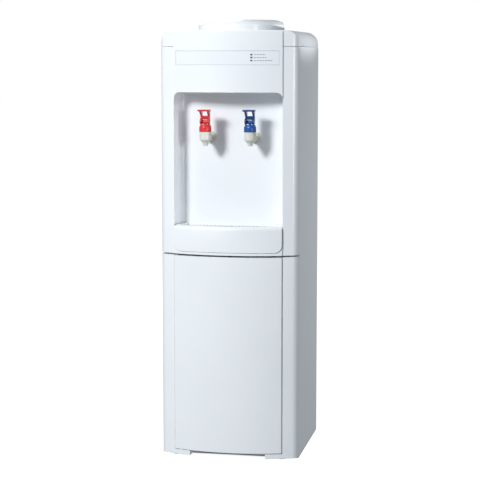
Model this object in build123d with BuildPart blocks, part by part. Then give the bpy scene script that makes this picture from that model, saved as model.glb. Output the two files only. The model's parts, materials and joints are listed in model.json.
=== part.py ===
from build123d import *
import os
from math import asin, cos, radians, sin, sqrt, tan

# A free-standing hot and cold water dispenser with a bottle seat on top and a cupboard below.
# Millimetres. X to the right, Y to the back, Z up. The origin is on the floor under the middle.

# Overall sizes
width = 310.0
depth = 320.0
split_height = 452.0
upper_height = 493.0
cover_height = 35.0
split_gap = 3.5
seam_gap = 0.8
ground_gap = 1.5
fit = 0.3

# Bowed front
bow_radius = 370.0
corner_radius = 21.0
column_width = 34.0
band_proud = 3.0
tray_proud = 2.0
wall = 2.8
wrap_straight = 0.58

# Top cover
cover_shoulder = 30.0
cover_rear_corner = 8.0
crest_drop = 2.0

# Sheet metal
sheet = 1.2
side_front_flange = 12.0
side_rear_flange = 14.0
rear_recess = 8.8
rear_panel_foot = 20.0
rear_panel_head = 5.0

# Alcove
alcove_overlap = 0.3
alcove_head = 99.0
alcove_corner = 16.0
alcove_share = 0.23125
alcove_draft = 7.5
alcove_back_fillet = 11.0

# Label strip and indicators
strip_side_gap = 6.0
strip_drop = 9.5
strip_height = 30.0
strip_thickness = 0.9
strip_recess = 0.2
indicator_inset = 59.6
indicator_drop = 7.9
indicator_pitch = 6.5
indicator_radius = 1.5
indicator_depth = 3.8
indicator_count = 3
board_width = 22.0
board_height = 34.0
board_thickness = 1.6
board_standoff = 3.4
board_post_radius = 2.5
lamp_radius = 1.2

# Drip tray and grille
tray_rise = 6.5
tray_height = 57.0
tray_corner = 16.0
tray_top_corner = 4.0
tray_front_thickness = 12.0
tray_front_round = 8.0
tray_side_gap = 0.6
tray_wall = 2.2
tray_basin_margin = 3.0
tray_flange = 3.0
tray_rear_gap = 1.5
grille_thickness = 3.0
grille_drop = 3.5
grille_ledge = 3.0
grille_slot_width = 3.6
grille_slot_pitch = 8.0
grille_margin = 7.0

# Bottle seat and collar
bottle_share = 0.0625
collar_height = 25.0
collar_radius = 97.0
collar_wall = 14.5
collar_shoulder_radius = 92.5
collar_shoulder_rise = 20.8
collar_crown_radius = 79.0
collar_mouth_radius = 71.0
collar_rebate = 5.0
collar_rebate_depth = 3.0
collar_skirt_radius = 87.4
collar_skirt_wall = 3.0
collar_skirt_drop = 18.0
collar_seat_gap = 0.2
seat_wall = 2.5
neck_radius = 29.5
neck_drop = 72.0
neck_length = 34.0
spike_well_radius = 22.0
spike_well_depth = 50.0
spike_radius = 8.0
spike_bore = 5.5
spike_below_neck = 5.0
spike_tip = 10.0
spike_port_radius = 3.0
seal_height = 6.0

# Taps
tap_spacing = 99.5
tap_reach = 52.0
spout_drop = 116.5
spout_tip_radius = 5.0
spout_radius = 6.6
spout_length = 6.5
spout_bore = 3.6
tap_body_radius = 12.8
tap_shoulder = 7.0
tap_body_height = 30.5
chamber_radius = 10.0
chamber_floor = 14.5
bonnet_radius = 13.4
bonnet_height = 16.0
bonnet_roof = 4.0
bonnet_flutes = 20
bonnet_flute_radius = 0.8
bonnet_flute_height = 8.5
bonnet_ring = 10.0
bonnet_slope = 2.4
tail_rise = 16.5
tail_radius = 8.0
tail_bore = 4.5
tail_flange_radius = 13.5
tail_flange = 3.5
tail_thread_radius = 7.6
tail_thread = 12.0
tail_barb_radius = 6.0
tail_barb = 7.0
nut_across = 24.0
nut_thickness = 7.0
stem_radius = 3.0
stem_flange_radius = 7.0
stem_flange = 2.0
stem_clearance = 0.3
cup_radius = 8.5
cup_thickness = 2.6
spring_radius = 6.0
spring_wire = 1.4
lever_pin_radius = 1.5
lever_pin_clearance = 0.05
lever_pin_rise = 5.5
knuckle_radius = 4.2
knuckle_half = 6.0
cheek_gap = 6.4
cheek_thickness = 4.0
cam_offset = 5.0
cam_swing = 35.0
cam_clearance = 0.15
lever_height = 27.0
lever_web_bottom = 5.2
lever_web_top = 13.4
lever_plate = 3.5
lever_lip = 21.0
lever_back = 4.0
lever_front = 3.6
lever_plate_front_width = 28.0
lever_plate_rear_width = 23.0
lever_plate_corner = 3.0
lever_gusset_top = 13.0
lever_gusset_rise = 12.0

# Lower frame, door and hinge
door_bottom = 14.6
door_gap = 1.5
door_top_gap = 0.6
door_edge = 3.0
toe_inset = 36.0
hinge_inset = 5.0
hinge_setback = 2.3
hinge_pin_radius = 1.8
hinge_pin_clearance = 0.05
hinge_pin_length = 14.0
hinge_boss_radius = 3.6
hinge_boss_height = 22.0
hinge_foot_radius = 2.8
hinge_foot = 1.0
hinge_plate = 2.0
hinge_plate_half = 9.0
hinge_plate_reach = 14.0
door_liner_thickness = 2.5
door_liner_panel = 8.0
door_liner_margin = 22.0
door_liner_round = 10.0
gasket_width = 8.0
gasket_inset = 1.5
gasket_thickness = 5.75
toe_rail = 3.0

# Cupboard
liner_inset = 13.0
liner_floor = 32.5
liner_headroom = 16.0
liner_wall = 2.5
liner_rear_gap = 29.4
shelf_height = 230.0
shelf_thickness = 4.0
shelf_ledge = 6.0
shelf_ledge_thickness = 3.0
shelf_setback = 14.0
shelf_slot_width = 6.0
shelf_slot_pitch = 14.0
shelf_slot_margin = 16.0
magnet_width = 40.0
magnet_depth = 14.0
magnet_height = 8.0
magnet_setback = 4.0
magnet_inset = 38.0

# Base and pads
base_wall = 3.0
pad_radius = 11.0
pad_height = 4.0
pad_pocket = 0.3
pad_boss_wall = 2.0
front_pad_side = 37.0
front_pad_inset = 14.0
rear_pad_side = 30.0
rear_pad_inset = 30.0

# Deck and tank bracket
deck_thickness = 2.0
deck_lip = 12.0
bracket_foam = 15.0
bracket_thickness = 2.0
bracket_lip = 12.0
bracket_front_gap = 1.5
bracket_hole = 20.0

# Cold tank, foam and cooling
cold_share = 0.2
cold_outlet_rise = 21.0
cold_well_entry = 2.0
tank_wall = 1.2
cold_neck_gap = 0.4
foam_thickness = 12.3
foam_top = 12.0
spigot_radius = 6.0
spigot_bore = 4.5
spigot_reach = 12.0
pad_block = 46.0
pad_block_lift = 80.0
pad_block_rise = 14.0
module_thickness = 4.0
module_size = 40.0
sink_width = 100.0
sink_height = 90.0
sink_base = 5.0
sink_fin = 2.0
sink_fin_depth = 14.0
sink_fins = 13
fan_size = 80.0
fan_depth = 17.5
fan_bore = 37.5
fan_blade_gap = 1.2
fan_hub_radius = 13.0
fan_plate = 3.0
fan_strut = 4.0
fan_shaft_radius = 2.0
fan_shaft_clearance = 0.05
fan_end_gap = 0.5
fan_blades = 7
fan_blade_thickness = 1.4
fan_blade_pitch = 35.0
fan_blade_height = 9.0
fan_hole_inset = 4.5
fan_hole_radius = 2.0
baffle_lift = 110.0
baffle_thickness = 2.0
baffle_gap = 0.4
baffle_tube_radius = 10.0
baffle_tube_wall = 1.5
baffle_holes = 6
baffle_hole_radius = 6.0
baffle_hole_circle = 42.0

# Hot tank and heater
hot_radius = 50.0
hot_leg_height = 26.0
tank_gap = 75.0
hot_wall = 1.5
hot_leg_radius = 4.0
hot_leg_circle = 40.0
hot_legs = 3
hot_spigot_height = 18.0
hot_outlet_x = -25.0
hot_outlet_y = 5.0
heater_gap = 0.1
heater_thickness = 3.0
heater_lift = 20.0
heater_headroom = 40.0
thermostat_radius = 9.0
thermostat_height = 10.0
thermostat_x = 26.0
thermostat_y = 18.0
drain_drop = 13.0
drain_radius = 6.0
drain_bore = 4.5
drain_bend = 9.0
drain_stub = 6.2
drain_cap_radius = 9.5
drain_cap_clearance = 0.3
drain_cap_wall = 1.8
drain_cap_gap = 0.8

# Hoses
hose_wall = 1.6
hose_clearance = 0.1
hose_bend = 11.0
hose_lift = 40.0
hose_overlap = 6.5
hose_foam_gap = 0.8

# Rear panel fittings
vent_width = 78.0
vent_height = 4.0
vent_pitch = 8.0
vent_rows = 9
intake_width = 60.0
intake_rows = 7
intake_rise = 88.0
intake_spread = 130.0
switch_drop = 60.0
switch_side = 43.0
switch_pitch = 40.0
switch_body_width = 17.0
switch_body_height = 28.0
switch_body_depth = 22.0
switch_flange_width = 22.0
switch_flange_height = 33.0
switch_flange = 2.0
switch_fit = 0.5
rocker_width = 11.4
rocker_length = 20.0
rocker_plate = 4.0
rocker_offset = 2.0
rocker_drum = 4.0
rocker_tilt = 10.0
rocker_depth = 2.0
rocker_well_width = 12.6
rocker_well_length = 24.0
rocker_well_depth = 9.0
rocker_axle_radius = 1.5
rocker_axle_clearance = 0.05
rocker_axle_reach = 1.4
gland_side = 55.0
gland_rise = 68.0
gland_radius = 8.0
gland_flange_radius = 11.0
gland_flange = 2.5
gland_snout_radius = 6.5
gland_snout = 7.0
gland_inside = 8.0
gland_bore = 3.6
gland_fit = 0.3
screw_head_radius = 3.6
screw_head = 2.2
screw_shank_radius = 1.5
screw_hole_gap = 0.2
screw_inset = 8.0
screw_rows = 5
screw_end = 35.0

# Power board
power_side = 43.0
power_width = 50.0
power_depth = 96.0
power_setback = 20.0
power_base = 3.0
power_blocks = 3
power_block_width = 34.0
power_block_depth = 24.0
power_block_height = 36.0
power_block_pitch = 30.0

# Places worked out from the sizes above
half_width = width / 2
front_y = -depth / 2
rear_y = depth / 2
body_height = split_height + upper_height
seam_height = body_height - cover_height
band_half = half_width - column_width
column_r = bow_radius
band_r = column_r + band_proud
tray_r = band_r + tray_proud
bow_centre = front_y + tray_r


def bow_y(x, radius):
    """Y of the bowed front at x, on the arc of the given radius."""
    return bow_centre - sqrt(radius * radius - x * x)


corner_angle = radians(90) + asin(half_width / column_r)
corner_tangent = corner_radius / tan(corner_angle / 2)
wrap_y = bow_y(half_width, column_r) + corner_tangent + wrap_straight
fascia_bottom = split_height + split_gap
fascia_top = seam_height - seam_gap / 2
cover_bottom = seam_height + seam_gap / 2
side_bottom = ground_gap + fit
inner_half = half_width - sheet - fit
rear_face = rear_y - rear_recess
rear_inner = rear_face - sheet
inner_rear = rear_inner - sheet - fit
alcove_half = band_half + alcove_overlap
alcove_top = seam_height - alcove_head
alcove_depth = alcove_share * depth
alcove_edge_y = bow_y(alcove_half, column_r)
alcove_back = front_y + alcove_depth
alcove_rate = alcove_draft / (alcove_back - alcove_edge_y)
alcove_back_half = alcove_half - alcove_draft
tray_bottom = fascia_bottom + tray_rise
tray_top = tray_bottom + tray_height
tray_half = alcove_half - tray_side_gap
slot_bottom = tray_bottom - 2 * fit
slot_top = tray_top + fit
strip_half = band_half - strip_side_gap
strip_top = seam_height - strip_drop
strip_bottom = strip_top - strip_height
indicator_x = strip_half - indicator_inset
indicator_top = strip_top - indicator_drop
indicator_y = bow_y(indicator_x, band_r)
indicator_levels = [indicator_top - indicator_pitch * i for i in range(indicator_count)]
indicator_middle = indicator_top - indicator_pitch * (indicator_count - 1) / 2
board_front = indicator_y + indicator_depth + board_standoff
bottle_y = bottle_share * depth
collar_top = body_height + collar_height
collar_wall_top = body_height + collar_wall
collar_shoulder_height = body_height + collar_shoulder_rise
neck_bottom = collar_top - neck_drop
tap_y = alcove_back - tap_reach
spout_tip = alcove_top - spout_drop
tap_body_top = spout_tip + tap_body_height
bonnet_top = tap_body_top + bonnet_height
tail_z = spout_tip + tail_rise
tail_thread_end = alcove_back + tail_thread
tail_end = tail_thread_end + tail_barb
pin_z = bonnet_top + lever_pin_rise
cam_rest = radians(cam_swing / 2)
door_half = band_half
door_top = split_height - door_top_gap
door_back = wrap_y - fit - gasket_thickness
opening_half = band_half + door_gap
foot_top = door_bottom - door_gap
foot_inner = band_half - toe_inset
hinge_x = -door_half + hinge_inset
hinge_y = bow_y(door_half, band_r) + hinge_setback
liner_half = band_half - liner_inset
liner_ceiling = split_height - liner_headroom
liner_front = wrap_y
liner_back = inner_rear - liner_rear_gap
magnet_x = liner_half - magnet_inset
flange_back = liner_front + liner_wall
flange_half = half_width - side_front_flange - fit
base_top = liner_floor - liner_wall
base_front = flange_back + fit
front_pad_x = half_width - front_pad_side
front_pad_y = wrap_y - front_pad_inset
rear_pad_x = half_width - rear_pad_side
rear_pad_y = inner_rear - rear_pad_inset
deck_bottom = split_height
deck_top = deck_bottom + deck_thickness
spike_well_bottom = neck_bottom - spike_well_depth
cold_radius = cold_share * depth
cold_bottom = tail_z - cold_outlet_rise
cold_top = spike_well_bottom + cold_well_entry
bracket_top = cold_bottom - bracket_foam
pad_block_height = cold_bottom + pad_block_lift
baffle_height = cold_bottom + baffle_lift
foam_radius = cold_radius + foam_thickness
pad_face = bottle_y + cold_radius + pad_block_rise
module_back = pad_face + module_thickness
sink_back = module_back + sink_base
fins_back = sink_back + sink_fin_depth
fan_front = fins_back + fit
fan_back = fan_front + fan_depth
hot_bottom = deck_top + hot_leg_height
hot_top = bracket_top - tank_gap
heater_bottom = hot_bottom + heater_lift
heater_top = hot_top - heater_headroom
drain_z = hot_bottom - drain_drop
drain_end = rear_face + drain_stub
hose_radius = spigot_radius + hose_clearance + hose_wall
vent_middle = pad_block_height
intake_height = split_height + intake_rise
switch_height = seam_height - switch_drop
switch_left = half_width - switch_side
switch_right = switch_left - switch_pitch
gland_x = half_width - gland_side
gland_height = split_height + gland_rise
power_x = power_side - half_width
cold_tap_x = tap_spacing / 2
hot_tap_x = -tap_spacing / 2
cold_front = bottle_y - sqrt(foam_radius**2 - (cold_tap_x - hose_radius) ** 2)
hose_turn_y = cold_front - hose_radius - hose_foam_gap
spigot_front = cold_front - spigot_reach

os.makedirs("parts", exist_ok=True)


# Helpers for planes and plain shapes
def level(z):
    """The horizontal plane at a height."""
    return Plane.XY.offset(z)


def facing(y):
    """The upright plane at y that faces the front, with its own x along X and its own y along Z."""
    return Plane.XZ.offset(-y)


def span(x0, x1, y0, y1, mode=Mode.ADD):
    """A rectangle between two places along each side of the sketch plane."""
    with Locations(((x0 + x1) / 2, (y0 + y1) / 2)):
        Rectangle(x1 - x0, y1 - y0, mode=mode)


def block(x0, x1, y0, y1, z0, z1, mode=Mode.ADD):
    """A straight block between two places along each axis."""
    with BuildSketch(level(z0)) as plan:
        span(x0, x1, y0, y1)
    extrude(plan.sketch, amount=z1 - z0, mode=mode)


def rod_y(x, z, radius, y0, y1, mode=Mode.ADD):
    """A round rod along Y."""
    with BuildSketch(facing(y0)) as disc:
        with Locations((x, z)):
            Circle(radius)
    extrude(disc.sketch, amount=y0 - y1, mode=mode)


def rod_z(x, y, radius, z0, z1, mode=Mode.ADD):
    """A round rod along Z."""
    with BuildSketch(level(z0)) as disc:
        with Locations((x, y)):
            Circle(radius)
    extrude(disc.sketch, amount=z1 - z0, mode=mode)


def turned(points, x, y, mode=Mode.ADD):
    """A shape turned about the upright axis at x, y from its outline of radius and height."""
    with BuildSketch(facing(y)) as outline:
        with BuildLine():
            Polyline(*[(x + radius, z) for radius, z in points], close=True)
        make_face()
    revolve(outline.sketch, axis=Axis((x, y, 0), (0, 0, 1)), mode=mode)


def bowed(half, radius, back, corner=0.0):
    """Plan with a bowed front, straight sides and a flat back."""
    side = bow_y(half, radius)
    with BuildSketch(mode=Mode.PRIVATE) as plan:
        with BuildLine():
            front = ThreePointArc((-half, side), (0, bow_y(0, radius)), (half, side))
            Polyline(front @ 1, (half, back), (-half, back), front @ 0)
        make_face()
        if corner > 0:
            fillet(plan.vertices().group_by(Axis.Y)[0], corner)
    return plan.sketch


def bowed_block(half, radius, back, z0, z1, corner=0.0, mode=Mode.ADD):
    """An upright block with a bowed front."""
    with BuildSketch(level(z0)) as plan:
        add(bowed(half, radius, back, corner))
    extrude(plan.sketch, amount=z1 - z0, mode=mode)


def bowed_skin(half, outer, inner, z0, z1, mode=Mode.ADD):
    """A thin plate that follows the bowed front between two radii."""
    back = bow_y(half, inner) + wall
    with BuildSketch(level(z0)) as plan:
        add(bowed(half, outer, back))
        add(bowed(half + wall, inner, back + wall), mode=Mode.SUBTRACT)
    extrude(plan.sketch, amount=z1 - z0, mode=mode)


def save(builder, node):
    """Label a finished piece and write it."""
    builder.part.label = node
    export_step(builder.part, f"parts/{node}.step")


# Base plinth: an upturned tray with two bosses for the rear pads
with BuildPart() as base_plinth:
    block(-inner_half, inner_half, base_front, inner_rear, ground_gap, base_top)
    block(
        -inner_half + base_wall,
        inner_half - base_wall,
        base_front + base_wall,
        inner_rear - base_wall,
        ground_gap,
        base_top - base_wall,
        mode=Mode.SUBTRACT,
    )
    for pad_x in (-rear_pad_x, rear_pad_x):
        rod_z(pad_x, rear_pad_y, pad_radius + pad_boss_wall, pad_height, base_top - base_wall)
save(base_plinth, "base_plinth")

# Foot pads: four rubber discs that carry the dispenser
with BuildPart() as foot_pads:
    with BuildSketch(level(0)):
        with Locations(
            (-front_pad_x, front_pad_y),
            (front_pad_x, front_pad_y),
            (-rear_pad_x, rear_pad_y),
            (rear_pad_x, rear_pad_y),
        ):
            Circle(pad_radius)
    extrude(amount=pad_height)
save(foot_pads, "foot_pads")

# Side panels: one bent sheet each, with a front flange and a rear flange for the rear panel
for side_name, side in (("left", -1), ("right", 1)):
    with BuildPart() as side_panel:
        with BuildSketch(level(side_bottom)):
            edges_x = sorted((side * (half_width - sheet), side * half_width))
            front_x = sorted((side * (half_width - side_front_flange), side * half_width))
            rear_x = sorted((side * (half_width - side_rear_flange), side * half_width))
            span(*edges_x, wrap_y, rear_y)
            span(*front_x, wrap_y, wrap_y + sheet)
            span(*rear_x, rear_inner - sheet, rear_inner)
        extrude(amount=fascia_top - side_bottom)
    save(side_panel, f"{side_name}_side_panel")

# Rear panel: a sheet with vents for the fan, intakes, and holes for the fittings
screw_low = rear_panel_foot + screw_end
screw_high = fascia_top - rear_panel_head - screw_end
screw_pitch = (screw_high - screw_low) / (screw_rows - 1)
screw_levels = [screw_low + i * screw_pitch for i in range(screw_rows)]
screw_places = [(x, z) for x in (screw_inset - half_width, half_width - screw_inset) for z in screw_levels]
switch_places = {"heat": -switch_left, "cool": -switch_right}
with BuildPart() as rear_panel:
    block(-inner_half, inner_half, rear_inner, rear_face, rear_panel_foot, fascia_top - rear_panel_head)
    with BuildSketch(facing(rear_inner)):
        with Locations((0, vent_middle)):
            with GridLocations(1, vent_pitch, 1, vent_rows):
                SlotOverall(vent_width, vent_height)
        with Locations((0, intake_height)):
            with GridLocations(intake_spread, vent_pitch, 2, intake_rows):
                SlotOverall(intake_width, vent_height)
        with Locations(*[(x, switch_height) for x in switch_places.values()]):
            Rectangle(switch_body_width + 2 * switch_fit, switch_body_height + 2 * switch_fit)
        with Locations((gland_x, gland_height)):
            Circle(gland_radius + gland_fit)
        with Locations((0, drain_z)):
            Circle(drain_radius + 2 * fit)
        with Locations(*screw_places):
            Circle(screw_shank_radius + screw_hole_gap)
    extrude(amount=-sheet, mode=Mode.SUBTRACT)
save(rear_panel, "rear_panel")

# Rear panel screws: heads on the panel, shanks in its holes
with BuildPart() as panel_screws:
    for screw_x, screw_z in screw_places:
        rod_y(screw_x, screw_z, screw_shank_radius, rear_inner, rear_face)
        rod_y(screw_x, screw_z, screw_head_radius, rear_face, rear_face + screw_head)
save(panel_screws, "panel_screws")

# Lower frame: two hollow columns on solid feet, tied by a rail behind the toe space
with BuildPart() as lower_frame:
    with BuildSketch(level(foot_top)) as columns:
        add(bowed(half_width, column_r, wrap_y, corner_radius))
        span(-opening_half, opening_half, front_y, wrap_y, mode=Mode.SUBTRACT)
    extrude(columns.sketch, amount=split_height - foot_top)
    with BuildSketch(level(foot_top)) as hollows:
        add(bowed(half_width - wall, column_r - wall, wrap_y + wall, corner_radius - wall))
        span(-opening_half - wall, opening_half + wall, front_y, wrap_y + wall, mode=Mode.SUBTRACT)
    extrude(hollows.sketch, amount=split_height - foot_top - wall, mode=Mode.SUBTRACT)
    with BuildSketch(level(ground_gap)) as feet:
        add(bowed(half_width, column_r, wrap_y, corner_radius))
        span(-foot_inner, foot_inner, front_y, wrap_y - toe_rail, mode=Mode.SUBTRACT)
    extrude(feet.sketch, amount=foot_top - ground_gap)
    for pad_x in (-front_pad_x, front_pad_x):
        rod_z(pad_x, front_pad_y, pad_radius + pad_pocket, ground_gap, pad_height, mode=Mode.SUBTRACT)
save(lower_frame, "lower_frame")

# Door: a bowed hollow shell with bosses for the hinge pins
with BuildPart() as door_panel:
    bowed_block(door_half, band_r, door_back, door_bottom, door_top)
    upright = door_panel.edges().filter_by(Axis.Z).group_by(Axis.Y)[0]
    fillet(upright, door_edge)
    bowed_block(
        door_half - wall,
        band_r - wall,
        door_back + wall,
        door_bottom + wall,
        door_top - wall,
        mode=Mode.SUBTRACT,
    )
    rod_z(hinge_x, hinge_y, hinge_boss_radius, door_bottom, door_bottom + hinge_boss_height)
    rod_z(hinge_x, hinge_y, hinge_boss_radius, door_top - hinge_boss_height, door_top)
    hinge_hole = hinge_pin_radius + hinge_pin_clearance
    hinge_hole_depth = hinge_pin_length + fit
    rod_z(hinge_x, hinge_y, hinge_hole, door_bottom, door_bottom + hinge_hole_depth, mode=Mode.SUBTRACT)
    rod_z(hinge_x, hinge_y, hinge_hole, door_top - hinge_hole_depth, door_top, mode=Mode.SUBTRACT)
save(door_panel, "door_panel")

# Door inner panel: a plate in the back of the door with a raised middle
inset_half = door_half - wall - fit
inset_bottom = door_bottom + wall + fit
inset_top = door_top - wall - fit
with BuildPart() as door_liner:
    block(-inset_half, inset_half, door_back - door_liner_thickness, door_back, inset_bottom, inset_top)
    with BuildSketch(facing(door_back)):
        with Locations((0, (inset_bottom + inset_top) / 2)):
            RectangleRounded(
                2 * (inset_half - door_liner_margin),
                inset_top - inset_bottom - 2 * door_liner_margin,
                door_liner_round,
            )
    extrude(amount=-door_liner_panel)
    with BuildSketch(facing(door_back - door_liner_thickness)):
        with Locations((0, (inset_bottom + inset_top) / 2)):
            RectangleRounded(
                2 * (inset_half - door_liner_margin - door_liner_thickness),
                inset_top - inset_bottom - 2 * (door_liner_margin + door_liner_thickness),
                door_liner_round - door_liner_thickness,
            )
    extrude(amount=-door_liner_panel, mode=Mode.SUBTRACT)
save(door_liner, "door_liner")

# Door gasket: a soft frame between the door and the cupboard flange
gasket_half = inset_half - gasket_inset
gasket_bottom = inset_bottom + gasket_inset
gasket_top = inset_top - gasket_inset
with BuildPart() as door_gasket:
    with BuildSketch(facing(door_back)):
        span(-gasket_half, gasket_half, gasket_bottom, gasket_top)
        span(
            -gasket_half + gasket_width,
            gasket_half - gasket_width,
            gasket_bottom + gasket_width,
            gasket_top - gasket_width,
            mode=Mode.SUBTRACT,
        )
    extrude(amount=-gasket_thickness)
save(door_gasket, "door_gasket")


def hinge_ear(left, right, z, thickness):
    """A small plate that carries a hinge pin, kept behind the column's face except round the pin."""
    with BuildSketch(level(z)) as ear:
        span(left, right, hinge_y - hinge_plate_half, hinge_y + hinge_plate_half)
        add(bowed(half_width - wall, column_r - wall / 2, wrap_y), mode=Mode.INTERSECT)
        with Locations((hinge_x, hinge_y)):
            Circle(hinge_foot_radius)
    extrude(ear.sketch, amount=thickness)


# Hinge pins: one stands on a plate on the left foot, one hangs from a plate on the left column
with BuildPart() as hinge_pins:
    hinge_ear(fit - opening_half, hinge_x + hinge_plate_reach, foot_top, hinge_foot)
    rod_z(hinge_x, hinge_y, hinge_pin_radius, foot_top, door_bottom + hinge_pin_length)
    hinge_ear(-opening_half - hinge_plate_reach, hinge_x + hinge_pin_radius, split_height, hinge_plate)
    rod_z(hinge_x, hinge_y, hinge_pin_radius, door_top - hinge_pin_length, split_height)
save(hinge_pins, "hinge_pins")

# Cupboard liner: a box open at the front, with a flange behind the gasket and two shelf ledges
with BuildPart() as cabinet_liner:
    block(
        -flange_half,
        flange_half,
        liner_front,
        flange_back,
        gasket_bottom - gasket_inset,
        split_height - fit,
    )
    block(
        -liner_half - liner_wall,
        liner_half + liner_wall,
        liner_front,
        liner_back + liner_wall,
        base_top,
        liner_ceiling + liner_wall,
    )
    block(-liner_half, liner_half, liner_front, liner_back, liner_floor, liner_ceiling, mode=Mode.SUBTRACT)
    for side in (-1, 1):
        ledge_x = sorted((side * (liner_half - shelf_ledge), side * liner_half))
        block(
            *ledge_x,
            liner_front + shelf_setback,
            liner_back,
            shelf_height - shelf_ledge_thickness,
            shelf_height,
        )
save(cabinet_liner, "cabinet_liner")

# Cupboard shelf: a slotted plate on the two ledges
shelf_half = liner_half - fit
shelf_front = liner_front + shelf_setback
shelf_back = liner_back - fit
shelf_slots = int((2 * shelf_half - 2 * shelf_slot_margin) // shelf_slot_pitch) + 1
with BuildPart() as cabinet_shelf:
    block(-shelf_half, shelf_half, shelf_front, shelf_back, shelf_height, shelf_height + shelf_thickness)
    with BuildSketch(level(shelf_height)):
        with Locations((0, (shelf_front + shelf_back) / 2)):
            with GridLocations(shelf_slot_pitch, 1, shelf_slots, 1):
                SlotOverall(
                    shelf_back - shelf_front - 2 * shelf_slot_margin,
                    shelf_slot_width,
                    rotation=90,
                )
    extrude(amount=shelf_thickness, mode=Mode.SUBTRACT)
save(cabinet_shelf, "cabinet_shelf")

# Catch magnet: a small block under the cupboard ceiling, near the door's free edge
with BuildPart() as catch_magnet:
    magnet_front = liner_front + door_liner_panel + magnet_setback
    block(
        magnet_x - magnet_width / 2,
        magnet_x + magnet_width / 2,
        magnet_front,
        magnet_front + magnet_depth,
        liner_ceiling - magnet_height,
        liner_ceiling,
    )
save(catch_magnet, "catch_magnet")

# Deck: a plate with turned-down lips that carries the hot tank and the power board
with BuildPart() as tank_deck:
    block(-inner_half, inner_half, base_front, inner_rear, deck_bottom, deck_top)
    lip_bottom = deck_bottom - deck_lip
    block(-inner_half, inner_half, inner_rear - deck_thickness, inner_rear, lip_bottom, deck_bottom)
    for side in (-1, 1):
        lip_x = sorted((side * (inner_half - deck_thickness), side * inner_half))
        block(*lip_x, base_front, inner_rear, lip_bottom, deck_bottom)
save(tank_deck, "tank_deck")


def alcove_cavity():
    """The cup space: a box that narrows towards its back, with rounded corners."""
    cavity_front = front_y - tray_proud
    cavity_bottom = (slot_bottom + slot_top) / 2
    middle = (cavity_bottom + alcove_top) / 2
    height = alcove_top - cavity_bottom
    front_half = alcove_half + alcove_rate * (alcove_edge_y - cavity_front)
    with BuildPart() as cavity:
        with BuildSketch(facing(alcove_back)):
            with Locations((0, middle)):
                RectangleRounded(2 * alcove_back_half, height, alcove_corner)
        with BuildSketch(facing(cavity_front)):
            with Locations((0, middle)):
                RectangleRounded(2 * front_half, height, alcove_corner)
        loft(ruled=True)
        fillet(cavity.faces().sort_by(Axis.Y)[-1].edges(), alcove_back_fillet)
    return cavity.part


def lens_holes():
    """Cut the clearance holes for the indicator lenses."""
    for lens_z in indicator_levels:
        lens_hole = indicator_radius + fit / 2
        hole_end = indicator_y + 3 * wall
        rod_y(indicator_x, lens_z, lens_hole, indicator_y - wall, hole_end, mode=Mode.SUBTRACT)


# Upper fascia: a bowed moulding with the alcove behind its opening and a crest in front of the top cover
with BuildPart() as upper_fascia:
    bowed_block(half_width, column_r, wrap_y, fascia_bottom, fascia_top, corner_radius)
    bowed_block(band_half, band_r, wrap_y, fascia_bottom, fascia_top)
    bowed_block(
        half_width - wall,
        column_r - wall,
        wrap_y + wall,
        fascia_bottom + wall,
        fascia_top,
        corner_radius - wall,
        mode=Mode.SUBTRACT,
    )
    bowed_block(band_half - wall, band_r - wall, wrap_y, fascia_bottom + wall, fascia_top, mode=Mode.SUBTRACT)
    bowed_skin(band_half, band_r, column_r + fit, fascia_top, body_height - crest_drop)
    bowed_block(alcove_half + wall, column_r, alcove_back + wall, fascia_bottom, alcove_top + wall)
    add(alcove_cavity(), mode=Mode.SUBTRACT)
    with BuildSketch(facing(alcove_back)) as slot:
        with Locations((0, (slot_bottom + slot_top) / 2)):
            Rectangle(2 * alcove_half, slot_top - slot_bottom)
        fillet(slot.vertices().group_by(Axis.Y)[0], tray_corner)
    extrude(slot.sketch, amount=alcove_depth + tray_proud, mode=Mode.SUBTRACT)
    for tap_x in (hot_tap_x, cold_tap_x):
        rod_y(tap_x, tail_z, tail_thread_radius + fit, alcove_back, alcove_back + wall, mode=Mode.SUBTRACT)
    bowed_skin(
        strip_half + fit,
        band_r + wall,
        band_r - strip_recess - strip_thickness,
        strip_bottom - fit,
        strip_top + fit,
        mode=Mode.SUBTRACT,
    )
    for post_x, post_z in (
        (indicator_x - board_width / 2 + board_post_radius, strip_bottom),
        (indicator_x + board_width / 2 - board_post_radius, strip_bottom),
    ):
        rod_y(post_x, post_z, board_post_radius, bow_y(post_x, band_r - wall + 2 * fit), board_front)
    lens_holes()
save(upper_fascia, "upper_fascia")

# Label strip: a thin bowed plate let into the fascia, with holes for the lenses
with BuildPart() as indicator_strip:
    strip_face = band_r - strip_recess
    bowed_skin(strip_half, strip_face, strip_face - strip_thickness, strip_bottom, strip_top)
    lens_holes()
save(indicator_strip, "indicator_strip")

# Indicator lenses
with BuildPart() as indicator_lenses:
    lens_back = indicator_y + indicator_depth
    for lens_z in indicator_levels:
        rod_y(indicator_x, lens_z, indicator_radius, indicator_y - strip_recess, lens_back)
save(indicator_lenses, "indicator_lenses")

# Indicator board: a small board on two posts, with a lamp behind each lens
with BuildPart() as indicator_board:
    block(
        indicator_x - board_width / 2,
        indicator_x + board_width / 2,
        board_front,
        board_front + board_thickness,
        indicator_middle - board_height / 2,
        indicator_middle + board_height / 2,
    )
    for lens_z in indicator_levels:
        rod_y(indicator_x, lens_z, lamp_radius, lens_back + fit / 2, board_front)
save(indicator_board, "indicator_board")


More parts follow.
